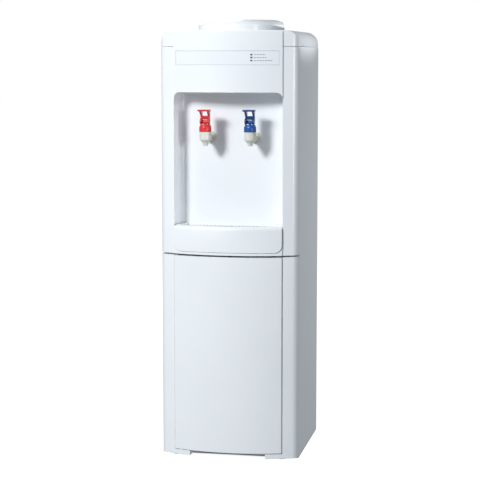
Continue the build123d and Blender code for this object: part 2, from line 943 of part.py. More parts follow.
def cover_shape(inset):
    """The top cover's outer shape, or its inside when inset by the wall."""
    lid_top = body_height - inset
    with BuildPart() as shape:
        bowed_block(
            half_width - inset,
            column_r - inset,
            rear_y - inset,
            cover_bottom,
            lid_top,
            corner_radius - inset,
        )
        fillet(shape.edges().filter_by(Axis.Z).group_by(Axis.Y)[-1], cover_rear_corner - inset)
        with BuildSketch(facing(0)) as arch:
            span(inset - half_width, half_width - inset, cover_bottom, lid_top)
            fillet(arch.vertices().group_by(Axis.Y)[-1], cover_shoulder - inset)
        extrude(arch.sketch, amount=depth, both=True, mode=Mode.INTERSECT)
    return shape.part


# Top cover: a shallow shell with rounded shoulders and a round mouth for the bottle collar
with BuildPart() as top_cover:
    add(cover_shape(0.0))
    add(cover_shape(wall), mode=Mode.SUBTRACT)
    rod_z(0, bottle_y, collar_skirt_radius + 2 * fit, cover_bottom, body_height, mode=Mode.SUBTRACT)
save(top_cover, "top_cover")

# Bottle collar: the ring on the top cover that holds the bottle's shoulder
collar_foot = body_height + collar_seat_gap
rebate_radius = collar_mouth_radius + collar_rebate
rebate_floor = collar_top - collar_rebate_depth
skirt_inner = collar_skirt_radius - collar_skirt_wall
with BuildPart() as bottle_collar:
    turned(
        [
            (skirt_inner, body_height - collar_skirt_drop),
            (collar_skirt_radius, body_height - collar_skirt_drop),
            (collar_skirt_radius, collar_foot),
            (collar_radius, collar_foot),
            (collar_radius, collar_wall_top),
            (collar_shoulder_radius, collar_shoulder_height),
            (collar_crown_radius, collar_top),
            (rebate_radius, collar_top),
            (rebate_radius, rebate_floor),
            (collar_mouth_radius, rebate_floor),
            (collar_mouth_radius, collar_wall_top),
            (skirt_inner, collar_foot),
        ],
        0,
        bottle_y,
    )
save(bottle_collar, "bottle_collar")

# Bottle seat: a dish on the collar's rebate, a bore for the bottle neck and a feed spike below it
neck_top = neck_bottom + neck_length
neck_outer = neck_radius + seat_wall
well_outer = spike_well_radius + seat_wall
dish_rim = rebate_radius - fit
dish_outer = collar_mouth_radius - fit
spike_top = neck_bottom - spike_below_neck
with BuildPart() as bottle_seat:
    turned(
        [
            (0, spike_well_bottom),
            (well_outer, spike_well_bottom),
            (well_outer, neck_bottom - seat_wall),
            (neck_outer, neck_bottom - seat_wall),
            (neck_outer, neck_top - seat_wall),
            (dish_outer, rebate_floor - seat_wall),
            (dish_outer, rebate_floor),
            (dish_rim, rebate_floor),
            (dish_rim, rebate_floor + seat_wall),
            (dish_outer - seat_wall, rebate_floor + seat_wall),
            (neck_radius, neck_top),
            (neck_radius, neck_bottom),
            (spike_well_radius, neck_bottom),
            (spike_well_radius, spike_well_bottom + seat_wall),
            (spike_radius, spike_well_bottom + seat_wall),
            (spike_radius, spike_top - spike_tip),
            (spike_radius - spike_bore, spike_top),
            (0, spike_top),
        ],
        0,
        bottle_y,
    )
    rod_z(0, bottle_y, spike_bore, spike_well_bottom, spike_top - spike_tip, mode=Mode.SUBTRACT)
    port_z = spike_top - spike_tip - 2 * spike_port_radius
    port_reach = spike_radius + spike_port_radius
    rod_y(0, port_z, spike_port_radius, bottle_y - port_reach, bottle_y + port_reach, mode=Mode.SUBTRACT)
save(bottle_seat, "bottle_seat")

# Seat seal: a soft ring round the spike well where it enters the cold tank
cold_neck = well_outer + seat_wall + cold_neck_gap
with BuildPart() as seat_seal:
    rod_z(0, bottle_y, well_outer + seat_wall, cold_top - tank_wall, cold_top + seal_height)
    rod_z(0, bottle_y, well_outer, cold_top - tank_wall, cold_top + seal_height, mode=Mode.SUBTRACT)
save(seat_seal, "seat_seal")

# Drip tray: a basin behind a bowed front, with a ledge for the grille
basin_half = tray_half - tray_corner - tray_basin_margin
basin_back = alcove_back - tray_rear_gap
basin_floor = tray_bottom + tray_wall
basin_r = tray_r - tray_front_thickness
grille_top = tray_top - grille_drop
grille_bottom = grille_top - grille_thickness
with BuildPart() as drip_tray:
    tray_front_back = bow_y(tray_half, tray_r) + tray_front_thickness
    bowed_block(tray_half + tray_corner, tray_r, tray_front_back, tray_bottom, tray_top)
    bow_edges = drip_tray.edges().filter_by(GeomType.CIRCLE)
    fillet(bow_edges.sort_by(Axis.Z)[-1], tray_front_round)
    with BuildSketch(facing(front_y)) as tray_face:
        span(-tray_half, tray_half, tray_bottom, tray_top)
        fillet(tray_face.vertices().group_by(Axis.Y)[0], tray_corner)
        fillet(tray_face.vertices().group_by(Axis.Y)[-1], tray_top_corner)
    extrude(tray_face.sketch, amount=-depth, mode=Mode.INTERSECT)
    bowed_block(basin_half, basin_r, basin_back, tray_bottom, tray_top)
    flange_reach = tray_half - tray_side_gap
    block(-flange_reach, flange_reach, tray_front_back, basin_back, tray_top - tray_flange, tray_top)
    with BuildSketch(level(basin_floor)) as basin:
        add(bowed(basin_half - tray_wall - grille_ledge, basin_r, basin_back - tray_wall))
        span(
            -basin_half,
            basin_half,
            basin_back - tray_wall - grille_ledge,
            basin_back,
            mode=Mode.SUBTRACT,
        )
    extrude(basin.sketch, amount=tray_top - basin_floor, mode=Mode.SUBTRACT)
    with BuildSketch(level(grille_bottom)) as rebate:
        add(bowed(basin_half - tray_wall, basin_r + grille_ledge, basin_back - tray_wall))
    extrude(rebate.sketch, amount=tray_top - grille_bottom, mode=Mode.SUBTRACT)
save(drip_tray, "drip_tray")

# Drip grille: a slotted plate that lifts out of the tray
grille_half = basin_half - tray_wall - fit
grille_r = basin_r + grille_ledge - fit
grille_back = basin_back - tray_wall - fit
grille_front = bow_y(grille_half, grille_r)
grille_slots = int((2 * grille_half - 2 * grille_margin) // grille_slot_pitch) + 1
with BuildPart() as drip_grille:
    bowed_block(grille_half, grille_r, grille_back, grille_bottom, grille_top)
    with BuildSketch(level(grille_bottom)):
        with Locations((0, (grille_front + grille_back) / 2)):
            with GridLocations(grille_slot_pitch, 1, grille_slots, 1):
                SlotOverall(grille_back - grille_front - grille_margin, grille_slot_width, rotation=90)
    extrude(amount=grille_thickness, mode=Mode.SUBTRACT)
save(drip_grille, "drip_grille")


def lever_side():
    """Side view of one lever cheek: the cam foot, the leg and its flare under the lip."""
    cam_y = tap_y - cam_offset * cos(cam_rest)
    cam_z = pin_z + cam_offset * sin(cam_rest)
    cam_radius = cam_z - bonnet_top - cam_clearance
    plate_bottom = pin_z + lever_height - lever_plate
    with BuildSketch(mode=Mode.PRIVATE) as side_view:
        with Locations((cam_y, cam_z)):
            Circle(cam_radius)
        with BuildLine():
            Polyline(
                (tap_y - lever_front, pin_z),
                (tap_y + lever_back, pin_z),
                (tap_y + lever_back, plate_bottom),
                (tap_y - lever_front - lever_gusset_rise, plate_bottom),
                (tap_y - lever_front, pin_z + lever_gusset_top),
                close=True,
            )
        make_face()
        with Locations((tap_y, pin_z)):
            Circle(lever_back)
    return side_view.sketch


def make_tap(prefix, x):
    """One lever tap: every piece of it, round the upright axis at x."""
    with BuildPart() as body:
        turned(
            [
                (0, spout_tip),
                (spout_tip_radius, spout_tip),
                (spout_radius, spout_tip + spout_length),
                (tap_body_radius, spout_tip + spout_length + tap_shoulder),
                (tap_body_radius, tap_body_top),
                (0, tap_body_top),
            ],
            x,
            tap_y,
        )
        rod_y(x, tail_z, tail_radius, tap_y, alcove_back)
        rod_y(x, tail_z, tail_flange_radius, alcove_back - tail_flange, alcove_back)
        rod_y(x, tail_z, tail_thread_radius, alcove_back, tail_thread_end)
        rod_y(x, tail_z, tail_barb_radius, tail_thread_end, tail_end)
        rod_y(x, tail_z + fit, tail_bore, tap_y, tail_end, mode=Mode.SUBTRACT)
        rod_z(x, tap_y, chamber_radius, spout_tip + chamber_floor, tap_body_top, mode=Mode.SUBTRACT)
        rod_z(x, tap_y, spout_bore, spout_tip, tap_body_top, mode=Mode.SUBTRACT)
    save(body, f"{prefix}_tap_body")

    with BuildPart() as bonnet:
        turned(
            [
                (0, tap_body_top),
                (bonnet_radius, tap_body_top),
                (bonnet_radius, tap_body_top + bonnet_ring),
                (bonnet_radius - bonnet_slope, bonnet_top),
                (0, bonnet_top),
            ],
            x,
            tap_y,
        )
        with BuildSketch(level(tap_body_top)) as flutes:
            with Locations((x, tap_y)):
                with PolarLocations(bonnet_radius, bonnet_flutes):
                    Circle(bonnet_flute_radius)
        extrude(flutes.sketch, amount=bonnet_flute_height, mode=Mode.SUBTRACT)
        rod_z(x, tap_y, chamber_radius, tap_body_top, bonnet_top - bonnet_roof, mode=Mode.SUBTRACT)
        rod_z(x, tap_y, stem_radius + stem_clearance, tap_body_top, bonnet_top, mode=Mode.SUBTRACT)
    save(bonnet, f"{prefix}_tap_bonnet")

    cup_bottom = spout_tip + chamber_floor + fit
    cup_top = cup_bottom + cup_thickness
    flange_top = cup_top + stem_flange
    with BuildPart() as cup:
        rod_z(x, tap_y, cup_radius, cup_bottom, cup_top)
        fillet(cup.faces().sort_by(Axis.Z)[0].edges(), cup_thickness / 2)
    save(cup, f"{prefix}_tap_cup")

    with BuildPart() as stem:
        rod_z(x, tap_y, stem_flange_radius, cup_top, flange_top)
        rod_z(x, tap_y, stem_radius, flange_top, pin_z)
        with BuildSketch(Plane.YZ.offset(x - knuckle_half)) as knuckle:
            with Locations((tap_y, pin_z)):
                Circle(knuckle_radius)
        extrude(knuckle.sketch, amount=2 * knuckle_half)
        with BuildSketch(Plane.YZ.offset(x - knuckle_half)) as pin_hole:
            with Locations((tap_y, pin_z)):
                Circle(lever_pin_radius)
        extrude(pin_hole.sketch, amount=2 * knuckle_half, mode=Mode.SUBTRACT)
    save(stem, f"{prefix}_tap_stem")

    with BuildPart() as spring:
        rod_z(x, tap_y, spring_radius, flange_top, bonnet_top - bonnet_roof)
        rod_z(x, tap_y, spring_radius - spring_wire, flange_top, bonnet_top - bonnet_roof, mode=Mode.SUBTRACT)
    save(spring, f"{prefix}_tap_spring")

    cheek_outer = cheek_gap + cheek_thickness
    with BuildPart() as pin:
        with BuildSketch(Plane.YZ.offset(x - cheek_outer)) as pin_disc:
            with Locations((tap_y, pin_z)):
                Circle(lever_pin_radius)
        extrude(pin_disc.sketch, amount=2 * cheek_outer)
    save(pin, f"{prefix}_tap_pin")

    plate_top = pin_z + lever_height
    with BuildPart() as lever:
        for start in (x - cheek_outer, x + cheek_gap):
            with BuildSketch(Plane.YZ.offset(start)) as cheek:
                add(lever_side())
            extrude(cheek.sketch, amount=cheek_thickness)
        block(
            x - cheek_outer,
            x + cheek_outer,
            tap_y - lever_front,
            tap_y + lever_back,
            pin_z + lever_web_bottom,
            pin_z + lever_web_top,
        )
        with BuildSketch(level(plate_top - lever_plate)) as plate:
            with BuildLine():
                Polyline(
                    (x - lever_plate_rear_width / 2, tap_y + lever_back),
                    (x + lever_plate_rear_width / 2, tap_y + lever_back),
                    (x + lever_plate_front_width / 2, tap_y - lever_lip),
                    (x - lever_plate_front_width / 2, tap_y - lever_lip),
                    close=True,
                )
            make_face()
            fillet(plate.vertices().group_by(Axis.Y)[0], lever_plate_corner)
        extrude(plate.sketch, amount=lever_plate)
        with BuildSketch(Plane.YZ.offset(x - cheek_outer)) as pivot:
            with Locations((tap_y, pin_z)):
                Circle(lever_pin_radius + lever_pin_clearance)
        extrude(pivot.sketch, amount=2 * cheek_outer, mode=Mode.SUBTRACT)
    save(lever, f"{prefix}_tap_lever")


make_tap("hot", hot_tap_x)
make_tap("cold", cold_tap_x)

# Tap nuts: one on each threaded tail, against the back of the alcove
with BuildPart() as tap_nuts:
    with BuildSketch(facing(alcove_back + wall)):
        with Locations((hot_tap_x, tail_z), (cold_tap_x, tail_z)):
            RegularPolygon(nut_across / 2, 6, major_radius=False)
            Circle(tail_thread_radius + fit / 2, mode=Mode.SUBTRACT)
    extrude(amount=-nut_thickness)
save(tap_nuts, "tap_nuts")

# Cold tank: a steel can with a neck, a cold outlet, a feed outlet and a flat pad for the cooling module
with BuildPart() as cold_tank:
    rod_z(0, bottle_y, cold_radius, cold_bottom, cold_top)
    block(
        -pad_block / 2,
        pad_block / 2,
        bottle_y,
        pad_face,
        pad_block_height - pad_block / 2,
        pad_block_height + pad_block / 2,
    )
    rod_y(cold_tap_x, tail_z, spigot_radius, spigot_front, bottle_y)
    feed_end = bracket_top - spigot_reach
    rod_z(0, bottle_y, spigot_radius, feed_end, cold_bottom)
    cold_inner = cold_radius - tank_wall
    rod_z(0, bottle_y, cold_inner, cold_bottom + tank_wall, cold_top - tank_wall, mode=Mode.SUBTRACT)
    rod_z(0, bottle_y, cold_neck, cold_top - tank_wall, cold_top, mode=Mode.SUBTRACT)
    rod_y(cold_tap_x, tail_z, spigot_bore, spigot_front, bottle_y, mode=Mode.SUBTRACT)
    rod_z(0, bottle_y, spigot_bore, feed_end, cold_bottom + tank_wall, mode=Mode.SUBTRACT)
save(cold_tank, "cold_tank")

# Tank baffle: a holed disc that keeps warm water above, on a tube that feeds the hot tank
with BuildPart() as tank_baffle:
    rod_z(0, bottle_y, cold_inner - baffle_gap, baffle_height, baffle_height + baffle_thickness)
    with BuildSketch(level(baffle_height)) as baffle_ports:
        with Locations((0, bottle_y)):
            with PolarLocations(baffle_hole_circle, baffle_holes):
                Circle(baffle_hole_radius)
    extrude(baffle_ports.sketch, amount=baffle_thickness, mode=Mode.SUBTRACT)
    rod_z(0, bottle_y, baffle_tube_radius, cold_bottom + tank_wall, baffle_height)
    rod_z(
        0,
        bottle_y,
        baffle_tube_radius - baffle_tube_wall,
        cold_bottom + tank_wall,
        baffle_height + baffle_thickness,
        mode=Mode.SUBTRACT,
    )
save(tank_baffle, "tank_baffle")

# Cold foam: two half shells round the cold tank
with BuildPart() as cold_foam:
    rod_z(0, bottle_y, foam_radius, bracket_top, cold_top + foam_top)
    rod_z(0, bottle_y, cold_radius + fit, cold_bottom - fit, cold_top + foam_top, mode=Mode.SUBTRACT)
    block(
        -pad_block / 2 - fit,
        pad_block / 2 + fit,
        bottle_y,
        pad_face + foam_thickness,
        pad_block_height - pad_block / 2 - fit,
        pad_block_height + pad_block / 2 + fit,
        mode=Mode.SUBTRACT,
    )
    rod_y(cold_tap_x, tail_z, spigot_radius + fit, spigot_front, bottle_y, mode=Mode.SUBTRACT)
    rod_z(0, bottle_y, spigot_radius + fit, bracket_top, cold_bottom, mode=Mode.SUBTRACT)
    split(bisect_by=Plane.YZ, keep=Keep.BOTH)
save(cold_foam, "cold_foam")

# Tank bracket: a plate across the body that carries the cold tank in its foam
bracket_front = hose_turn_y + hose_radius + bracket_front_gap
bracket_back = bottle_y + foam_radius
with BuildPart() as tank_bracket:
    bracket_bottom = bracket_top - bracket_thickness
    block(-inner_half, inner_half, bracket_front, bracket_back, bracket_bottom, bracket_top)
    for side in (-1, 1):
        lip_x = sorted((side * (inner_half - bracket_thickness), side * inner_half))
        block(*lip_x, bracket_front, bracket_back, bracket_bottom - bracket_lip, bracket_bottom)
    rod_z(0, bottle_y, bracket_hole / 2, bracket_bottom, bracket_top, mode=Mode.SUBTRACT)
save(tank_bracket, "tank_bracket")

# Cooling module: a flat tile between the tank's pad and the heat sink
with BuildPart() as cooling_module:
    block(
        -module_size / 2,
        module_size / 2,
        pad_face,
        module_back,
        pad_block_height - module_size / 2,
        pad_block_height + module_size / 2,
    )
save(cooling_module, "cooling_module")

# Heat sink: a base with upright fins
with BuildPart() as heat_sink:
    sink_bottom = pad_block_height - sink_height / 2
    sink_top = pad_block_height + sink_height / 2
    block(-sink_width / 2, sink_width / 2, module_back, sink_back, sink_bottom, sink_top)
    fin_pitch = (sink_width - sink_fin) / (sink_fins - 1)
    for i in range(sink_fins):
        fin_x = -sink_width / 2 + i * fin_pitch
        block(fin_x, fin_x + sink_fin, sink_back, fins_back, sink_bottom, sink_top)
save(heat_sink, "heat_sink")

# Fan frame: a square duct with a motor plate on struts at its back
with BuildPart() as fan_frame:
    with BuildSketch(facing(fan_front)) as duct:
        with Locations((0, pad_block_height)):
            RectangleRounded(fan_size, fan_size, fan_hole_inset)
            Circle(fan_bore, mode=Mode.SUBTRACT)
            with GridLocations(fan_size - 2 * fan_hole_inset, fan_size - 2 * fan_hole_inset, 2, 2):
                Circle(fan_hole_radius, mode=Mode.SUBTRACT)
    extrude(duct.sketch, amount=-fan_depth)
    with BuildSketch(facing(fan_back - fan_plate)) as motor_plate:
        with Locations((0, pad_block_height)):
            Circle(fan_hub_radius)
            Rectangle(2 * fan_bore + fan_strut, fan_strut)
            Rectangle(fan_strut, 2 * fan_bore + fan_strut)
            Circle(fan_shaft_radius + fan_shaft_clearance, mode=Mode.SUBTRACT)
    extrude(motor_plate.sketch, amount=-fan_plate)
save(fan_frame, "fan_frame")

# Fan rotor: a hub with pitched blades on a short shaft
with BuildPart() as fan_rotor:
    hub_front = fan_front + fan_end_gap
    hub_back = fan_back - fan_plate - fan_end_gap
    hub_middle = (hub_front + hub_back) / 2
    blade_tip = fan_bore - fan_blade_gap
    rod_y(0, pad_block_height, fan_hub_radius, hub_front, hub_back)
    rod_y(0, pad_block_height, fan_shaft_radius, hub_back, fan_back - fan_end_gap)
    for i in range(fan_blades):
        turn = 360 / fan_blades * i
        root = Plane(origin=(0, hub_middle, pad_block_height), x_dir=(0, 1, 0), z_dir=(1, 0, 0))
        with BuildSketch(root) as blade:
            Rectangle(fan_blade_height, fan_blade_thickness, rotation=fan_blade_pitch)
        swung = blade.sketch.rotate(Axis((0, hub_middle, pad_block_height), (0, 1, 0)), turn)
        extrude(swung, amount=blade_tip)
save(fan_rotor, "fan_rotor")

# Hot tank: a steel can on legs, with a feed spigot, a hot outlet and a drain pipe to the rear
with BuildPart() as hot_tank:
    rod_z(0, bottle_y, hot_radius, hot_bottom, hot_top)
    with BuildSketch(level(deck_top)) as legs:
        with Locations((0, bottle_y)):
            with PolarLocations(hot_leg_circle, hot_legs, start_angle=30):
                Circle(hot_leg_radius)
    extrude(legs.sketch, amount=hot_bottom - deck_top)
    rod_z(0, bottle_y, spigot_radius, hot_top, hot_top + hot_spigot_height)
    rod_z(hot_outlet_x, hot_outlet_y, spigot_radius, hot_top, hot_top + hot_spigot_height)
    with BuildLine() as drain_line:
        FilletPolyline(
            (0, bottle_y, hot_bottom),
            (0, bottle_y, drain_z),
            (0, drain_end, drain_z),
            radius=drain_bend,
        )
    with BuildSketch(Plane(origin=(0, bottle_y, hot_bottom), z_dir=(0, 0, -1))) as drain_pipe:
        Circle(drain_radius)
    sweep(drain_pipe.sketch, path=drain_line.line)
    rod_z(0, bottle_y, hot_radius - hot_wall, hot_bottom + hot_wall, hot_top - hot_wall, mode=Mode.SUBTRACT)
    with BuildSketch(Plane(origin=(0, bottle_y, hot_bottom), z_dir=(0, 0, -1))) as drain_hole:
        Circle(drain_bore)
    sweep(drain_hole.sketch, path=drain_line.line, mode=Mode.SUBTRACT)
    rod_z(0, bottle_y, drain_bore, hot_bottom, hot_bottom + hot_wall, mode=Mode.SUBTRACT)
    rod_z(0, bottle_y, spigot_bore, hot_top - hot_wall, hot_top + hot_spigot_height, mode=Mode.SUBTRACT)
    rod_z(
        hot_outlet_x,
        hot_outlet_y,
        spigot_bore,
        hot_top - hot_wall,
        hot_top + hot_spigot_height,
        mode=Mode.SUBTRACT,
    )
save(hot_tank, "hot_tank")

# Band heater: a ring round the hot tank
with BuildPart() as band_heater:
    heater_inner = hot_radius + heater_gap
    rod_z(0, bottle_y, heater_inner + heater_thickness, heater_bottom, heater_top)
    rod_z(0, bottle_y, heater_inner, heater_bottom, heater_top, mode=Mode.SUBTRACT)
save(band_heater, "band_heater")

# Thermostats: two discs on the hot tank's lid
with BuildPart() as thermostats:
    for offset_y in (-thermostat_y, thermostat_y):
        rod_z(thermostat_x, bottle_y + offset_y, thermostat_radius, hot_top, hot_top + thermostat_height)
save(thermostats, "thermostats")

# Cold hose: a straight sleeve from the cold tap's barb to the cold tank's spigot
hose_bore = spigot_radius + hose_clearance
with BuildPart() as cold_hose:
    hose_start = tail_end - hose_overlap
    rod_y(cold_tap_x, tail_z, hose_radius, hose_start, cold_front - fit)
    rod_y(cold_tap_x, tail_z, hose_bore, hose_start, cold_front - fit, mode=Mode.SUBTRACT)
save(cold_hose, "cold_hose")

# Feed hose: a straight sleeve from the cold tank down to the hot tank
with BuildPart() as feed_hose:
    feed_top = bracket_top - bracket_thickness - bracket_lip / 2
    rod_z(0, bottle_y, hose_radius, hot_top + fit, feed_top)
    rod_z(0, bottle_y, hose_bore, hot_top + fit, feed_top, mode=Mode.SUBTRACT)
save(feed_hose, "feed_hose")

# Hot hose: from the hot tap's barb, down behind the alcove and across to the hot tank's outlet
with BuildPart() as hot_hose:
    low_z = hot_top + hose_lift
    with BuildLine() as hot_line:
        FilletPolyline(
            (hot_tap_x, tail_end - hose_overlap, tail_z),
            (hot_tap_x, hose_turn_y, tail_z),
            (hot_tap_x, hose_turn_y, low_z),
            (hot_outlet_x, hot_outlet_y, low_z),
            (hot_outlet_x, hot_outlet_y, hot_top + fit),
            radius=hose_bend,
        )
    start = Plane(origin=(hot_tap_x, tail_end - hose_overlap, tail_z), z_dir=(0, 1, 0))
    with BuildSketch(start) as hose_section:
        Circle(hose_radius)
        Circle(hose_bore, mode=Mode.SUBTRACT)
    sweep(hose_section.sketch, path=hot_line.line)
save(hot_hose, "hot_hose")

# Drain cap: a cup over the drain pipe's end at the rear
with BuildPart() as drain_cap:
    cap_inner = drain_radius + drain_cap_clearance
    cap_start = rear_face + drain_cap_gap
    cap_end = drain_end + fit
    rod_y(0, drain_z, drain_cap_radius, cap_start, cap_end + drain_cap_wall)
    rod_y(0, drain_z, cap_inner, cap_start, cap_end, mode=Mode.SUBTRACT)
save(drain_cap, "drain_cap")

# Cord gland: a flanged bush through the rear panel
with BuildPart() as cord_gland:
    rod_y(gland_x, gland_height, gland_radius, rear_inner - gland_inside, rear_face)
    rod_y(gland_x, gland_height, gland_flange_radius, rear_face, rear_face + gland_flange)
    rod_y(gland_x, gland_height, gland_snout_radius, rear_face + gland_flange, rear_face + gland_snout)
    rod_y(
        gland_x,
        gland_height,
        gland_bore,
        rear_inner - gland_inside,
        rear_face + gland_snout,
        mode=Mode.SUBTRACT,
    )
save(cord_gland, "cord_gland")

# Switch bodies: two flanged boxes through the rear panel, each with a well for its rocker
rocker_y = rear_face - rocker_depth
with BuildPart() as switch_bodies:
    for switch_x in switch_places.values():
        block(
            switch_x - switch_body_width / 2,
            switch_x + switch_body_width / 2,
            rear_face - switch_body_depth,
            rear_face,
            switch_height - switch_body_height / 2,
            switch_height + switch_body_height / 2,
        )
        block(
            switch_x - switch_flange_width / 2,
            switch_x + switch_flange_width / 2,
            rear_face,
            rear_face + switch_flange,
            switch_height - switch_flange_height / 2,
            switch_height + switch_flange_height / 2,
        )
        block(
            switch_x - rocker_well_width / 2,
            switch_x + rocker_well_width / 2,
            rear_face - rocker_well_depth,
            rear_face + switch_flange,
            switch_height - rocker_well_length / 2,
            switch_height + rocker_well_length / 2,
            mode=Mode.SUBTRACT,
        )
        axle_start = switch_x - rocker_width / 2 - rocker_axle_reach - fit
        with BuildSketch(Plane.YZ.offset(axle_start)) as axle_hole:
            with Locations((rocker_y, switch_height)):
                Circle(rocker_axle_radius + rocker_axle_clearance)
        extrude(
            axle_hole.sketch,
            amount=rocker_width + 2 * (rocker_axle_reach + fit),
            mode=Mode.SUBTRACT,
        )
save(switch_bodies, "switch_bodies")

# Rockers: each tilts on two axle stubs in its switch body
for switch_name, switch_x in switch_places.items():
    with BuildPart() as rocker:
        with BuildSketch(Plane.YZ.offset(switch_x - rocker_width / 2)) as rocker_side:
            with Locations(Location((rocker_y, switch_height), -rocker_tilt)):
                with Locations((rocker_offset + rocker_plate / 2, 0)):
                    Rectangle(rocker_plate, rocker_length)
            with Locations((rocker_y, switch_height)):
                Circle(rocker_drum)
        extrude(rocker_side.sketch, amount=rocker_width)
        with BuildSketch(Plane.YZ.offset(switch_x - rocker_width / 2 - rocker_axle_reach)) as axle:
            with Locations((rocker_y, switch_height)):
                Circle(rocker_axle_radius)
        extrude(axle.sketch, amount=rocker_width + 2 * rocker_axle_reach)
    save(rocker, f"{switch_name}_rocker")

# Power board: a base plate on the deck with three blocks of parts
with BuildPart() as power_board:
    power_back = inner_rear - power_setback
    power_front = power_back - power_depth
    block(
        power_x - power_width / 2,
        power_x + power_width / 2,
        power_front,
        power_back,
        deck_top,
        deck_top + power_base,
    )
    for i in range(power_blocks):
        block_y = (power_front + power_back) / 2 + (i - (power_blocks - 1) / 2) * power_block_pitch
        block(
            power_x - power_block_width / 2,
            power_x + power_block_width / 2,
            block_y - power_block_depth / 2,
            block_y + power_block_depth / 2,
            deck_top + power_base,
            deck_top + power_base + power_block_height,
        )
save(power_board, "power_board")
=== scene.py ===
"""The looks of a white bottle water dispenser.

Softened mouldings, taps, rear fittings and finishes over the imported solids, with light and camera.
"""

import json
from math import asin, cos, pi, radians, sin

import bmesh
import bpy
from bpy.props import FloatProperty, FloatVectorProperty, IntProperty, PointerProperty
from bpy.types import Operator, Panel, PropertyGroup
from mathutils import Matrix, Vector


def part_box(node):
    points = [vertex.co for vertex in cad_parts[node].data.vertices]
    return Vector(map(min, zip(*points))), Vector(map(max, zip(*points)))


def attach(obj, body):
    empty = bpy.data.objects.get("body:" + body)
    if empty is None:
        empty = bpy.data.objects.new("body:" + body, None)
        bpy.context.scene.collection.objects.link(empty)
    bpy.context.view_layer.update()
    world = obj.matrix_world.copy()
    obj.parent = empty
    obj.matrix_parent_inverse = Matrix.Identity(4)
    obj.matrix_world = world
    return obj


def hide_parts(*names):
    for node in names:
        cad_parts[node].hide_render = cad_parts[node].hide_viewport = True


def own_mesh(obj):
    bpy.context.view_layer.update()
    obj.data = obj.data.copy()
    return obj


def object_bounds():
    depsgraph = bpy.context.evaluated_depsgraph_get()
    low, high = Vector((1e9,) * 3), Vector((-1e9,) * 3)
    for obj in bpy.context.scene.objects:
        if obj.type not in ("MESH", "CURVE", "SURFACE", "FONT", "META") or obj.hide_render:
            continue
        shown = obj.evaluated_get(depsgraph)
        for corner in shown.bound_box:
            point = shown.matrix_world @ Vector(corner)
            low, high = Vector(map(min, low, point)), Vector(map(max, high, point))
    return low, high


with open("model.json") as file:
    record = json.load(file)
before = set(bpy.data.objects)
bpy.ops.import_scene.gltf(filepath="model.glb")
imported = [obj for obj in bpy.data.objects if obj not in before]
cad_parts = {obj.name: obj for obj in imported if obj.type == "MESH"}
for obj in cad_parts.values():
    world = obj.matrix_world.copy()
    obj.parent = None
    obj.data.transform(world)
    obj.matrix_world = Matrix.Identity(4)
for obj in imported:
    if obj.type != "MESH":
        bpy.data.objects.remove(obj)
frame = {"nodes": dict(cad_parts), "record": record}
cad_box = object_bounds()

bl_info = {
    "name": "Water dispenser looks",
    "version": (1, 0, 0),
    "blender": (4, 5, 0),
    "location": "3D View > Sidebar > Dispenser",
    "description": "Dresses the packed water dispenser with softened pieces, finishes and a studio",
    "category": "Object",
}

MM = 0.001
LENS_COUNT = 3
# Radius of the bowed front
FRONT_BOW = 372.8 * MM
# How a copy of a solid is cleaned: points this close are one, faces this flat are joined
MERGE_DISTANCE = 0.002 * MM
FLAT_ANGLE = radians(0.02)
# Edges sharper than the first angle are rounded, and those sharper than the second shade as edges
SHARP_ANGLE = radians(28)
SMOOTH_ANGLE = radians(40)
# Colours of the print and the studio
PRINT_INK = (0.20, 0.21, 0.25)
LAMP_WHITE = (0.95, 0.98, 1.0)
SKY_WHITE = (0.86, 0.94, 1.0)
WHITE = (1.0, 1.0, 1.0)
BLACK = (0.0, 0.0, 0.0)

record = frame["record"]
slot_colours = {row["slot"]: tuple(row["base_color"]) for row in record["materials"]}
slot_of = {row["node"]: row["material_slot"] for row in record["subparts"]}
body_of = {node: body for body, nodes in record["behaviour"]["bodies"].items() for node in nodes}


# Sizes and colours that a user would change


def length(label, note, default):
    """A property for a size in metres."""
    return FloatProperty(
        name=label, description=note, default=default, min=0.0, unit="LENGTH", precision=5
    )


def angle(label, note, default):
    """A property for an angle."""
    return FloatProperty(name=label, description=note, default=default, subtype="ANGLE")


def paint(label, note, slot):
    """A property for a colour that starts as a slot's own."""
    return FloatVectorProperty(
        name=label,
        description=note,
        default=slot_colours[slot],
        size=3,
        min=0.0,
        max=1.0,
        subtype="COLOR",
    )


def power(label, note, default):
    """A property for the power of a light."""
    return FloatProperty(name=label, description=note, default=default, min=0.0, unit="POWER")


def number(label, note, default):
    """A property for a number without a unit."""
    return FloatProperty(name=label, description=note, default=default)


class DispenserEdges(PropertyGroup):
    """How far the edges of the pieces are rounded."""

    moulding: length("Moulding edge", "Rounding of the outer mouldings' edges", 1.0 * MM)
    rim: length("Rim edge", "Rounding of rims and small mouldings", 0.45 * MM)
    sheet: length("Sheet edge", "Rounding of folded sheet edges", 0.4 * MM)
    fine: length("Fine edge", "Rounding of small fittings", 0.25 * MM)
    steps: IntProperty(
        name="Steps", description="Faces across each rounded edge", default=3, min=1, max=6
    )


class DispenserColours(PropertyGroup):
    """The colours that the finishes start from, one for each slot that shows most."""

    white_moulding: paint("Mouldings", "White of the front, cover and tray", "white_moulding")
    white_sheet: paint("Side panels", "White paint of the side panels", "white_sheet")
    rear_sheet: paint("Rear panel", "Grey paint of the rear panel", "rear_sheet")
    ivory_tap: paint("Tap bodies", "Ivory of the tap bodies", "ivory_tap")
    red_plastic: paint("Hot tap", "Red of the hot lever and bonnet", "red_plastic")
    blue_plastic: paint("Cold tap", "Blue of the cold lever and bonnet", "blue_plastic")


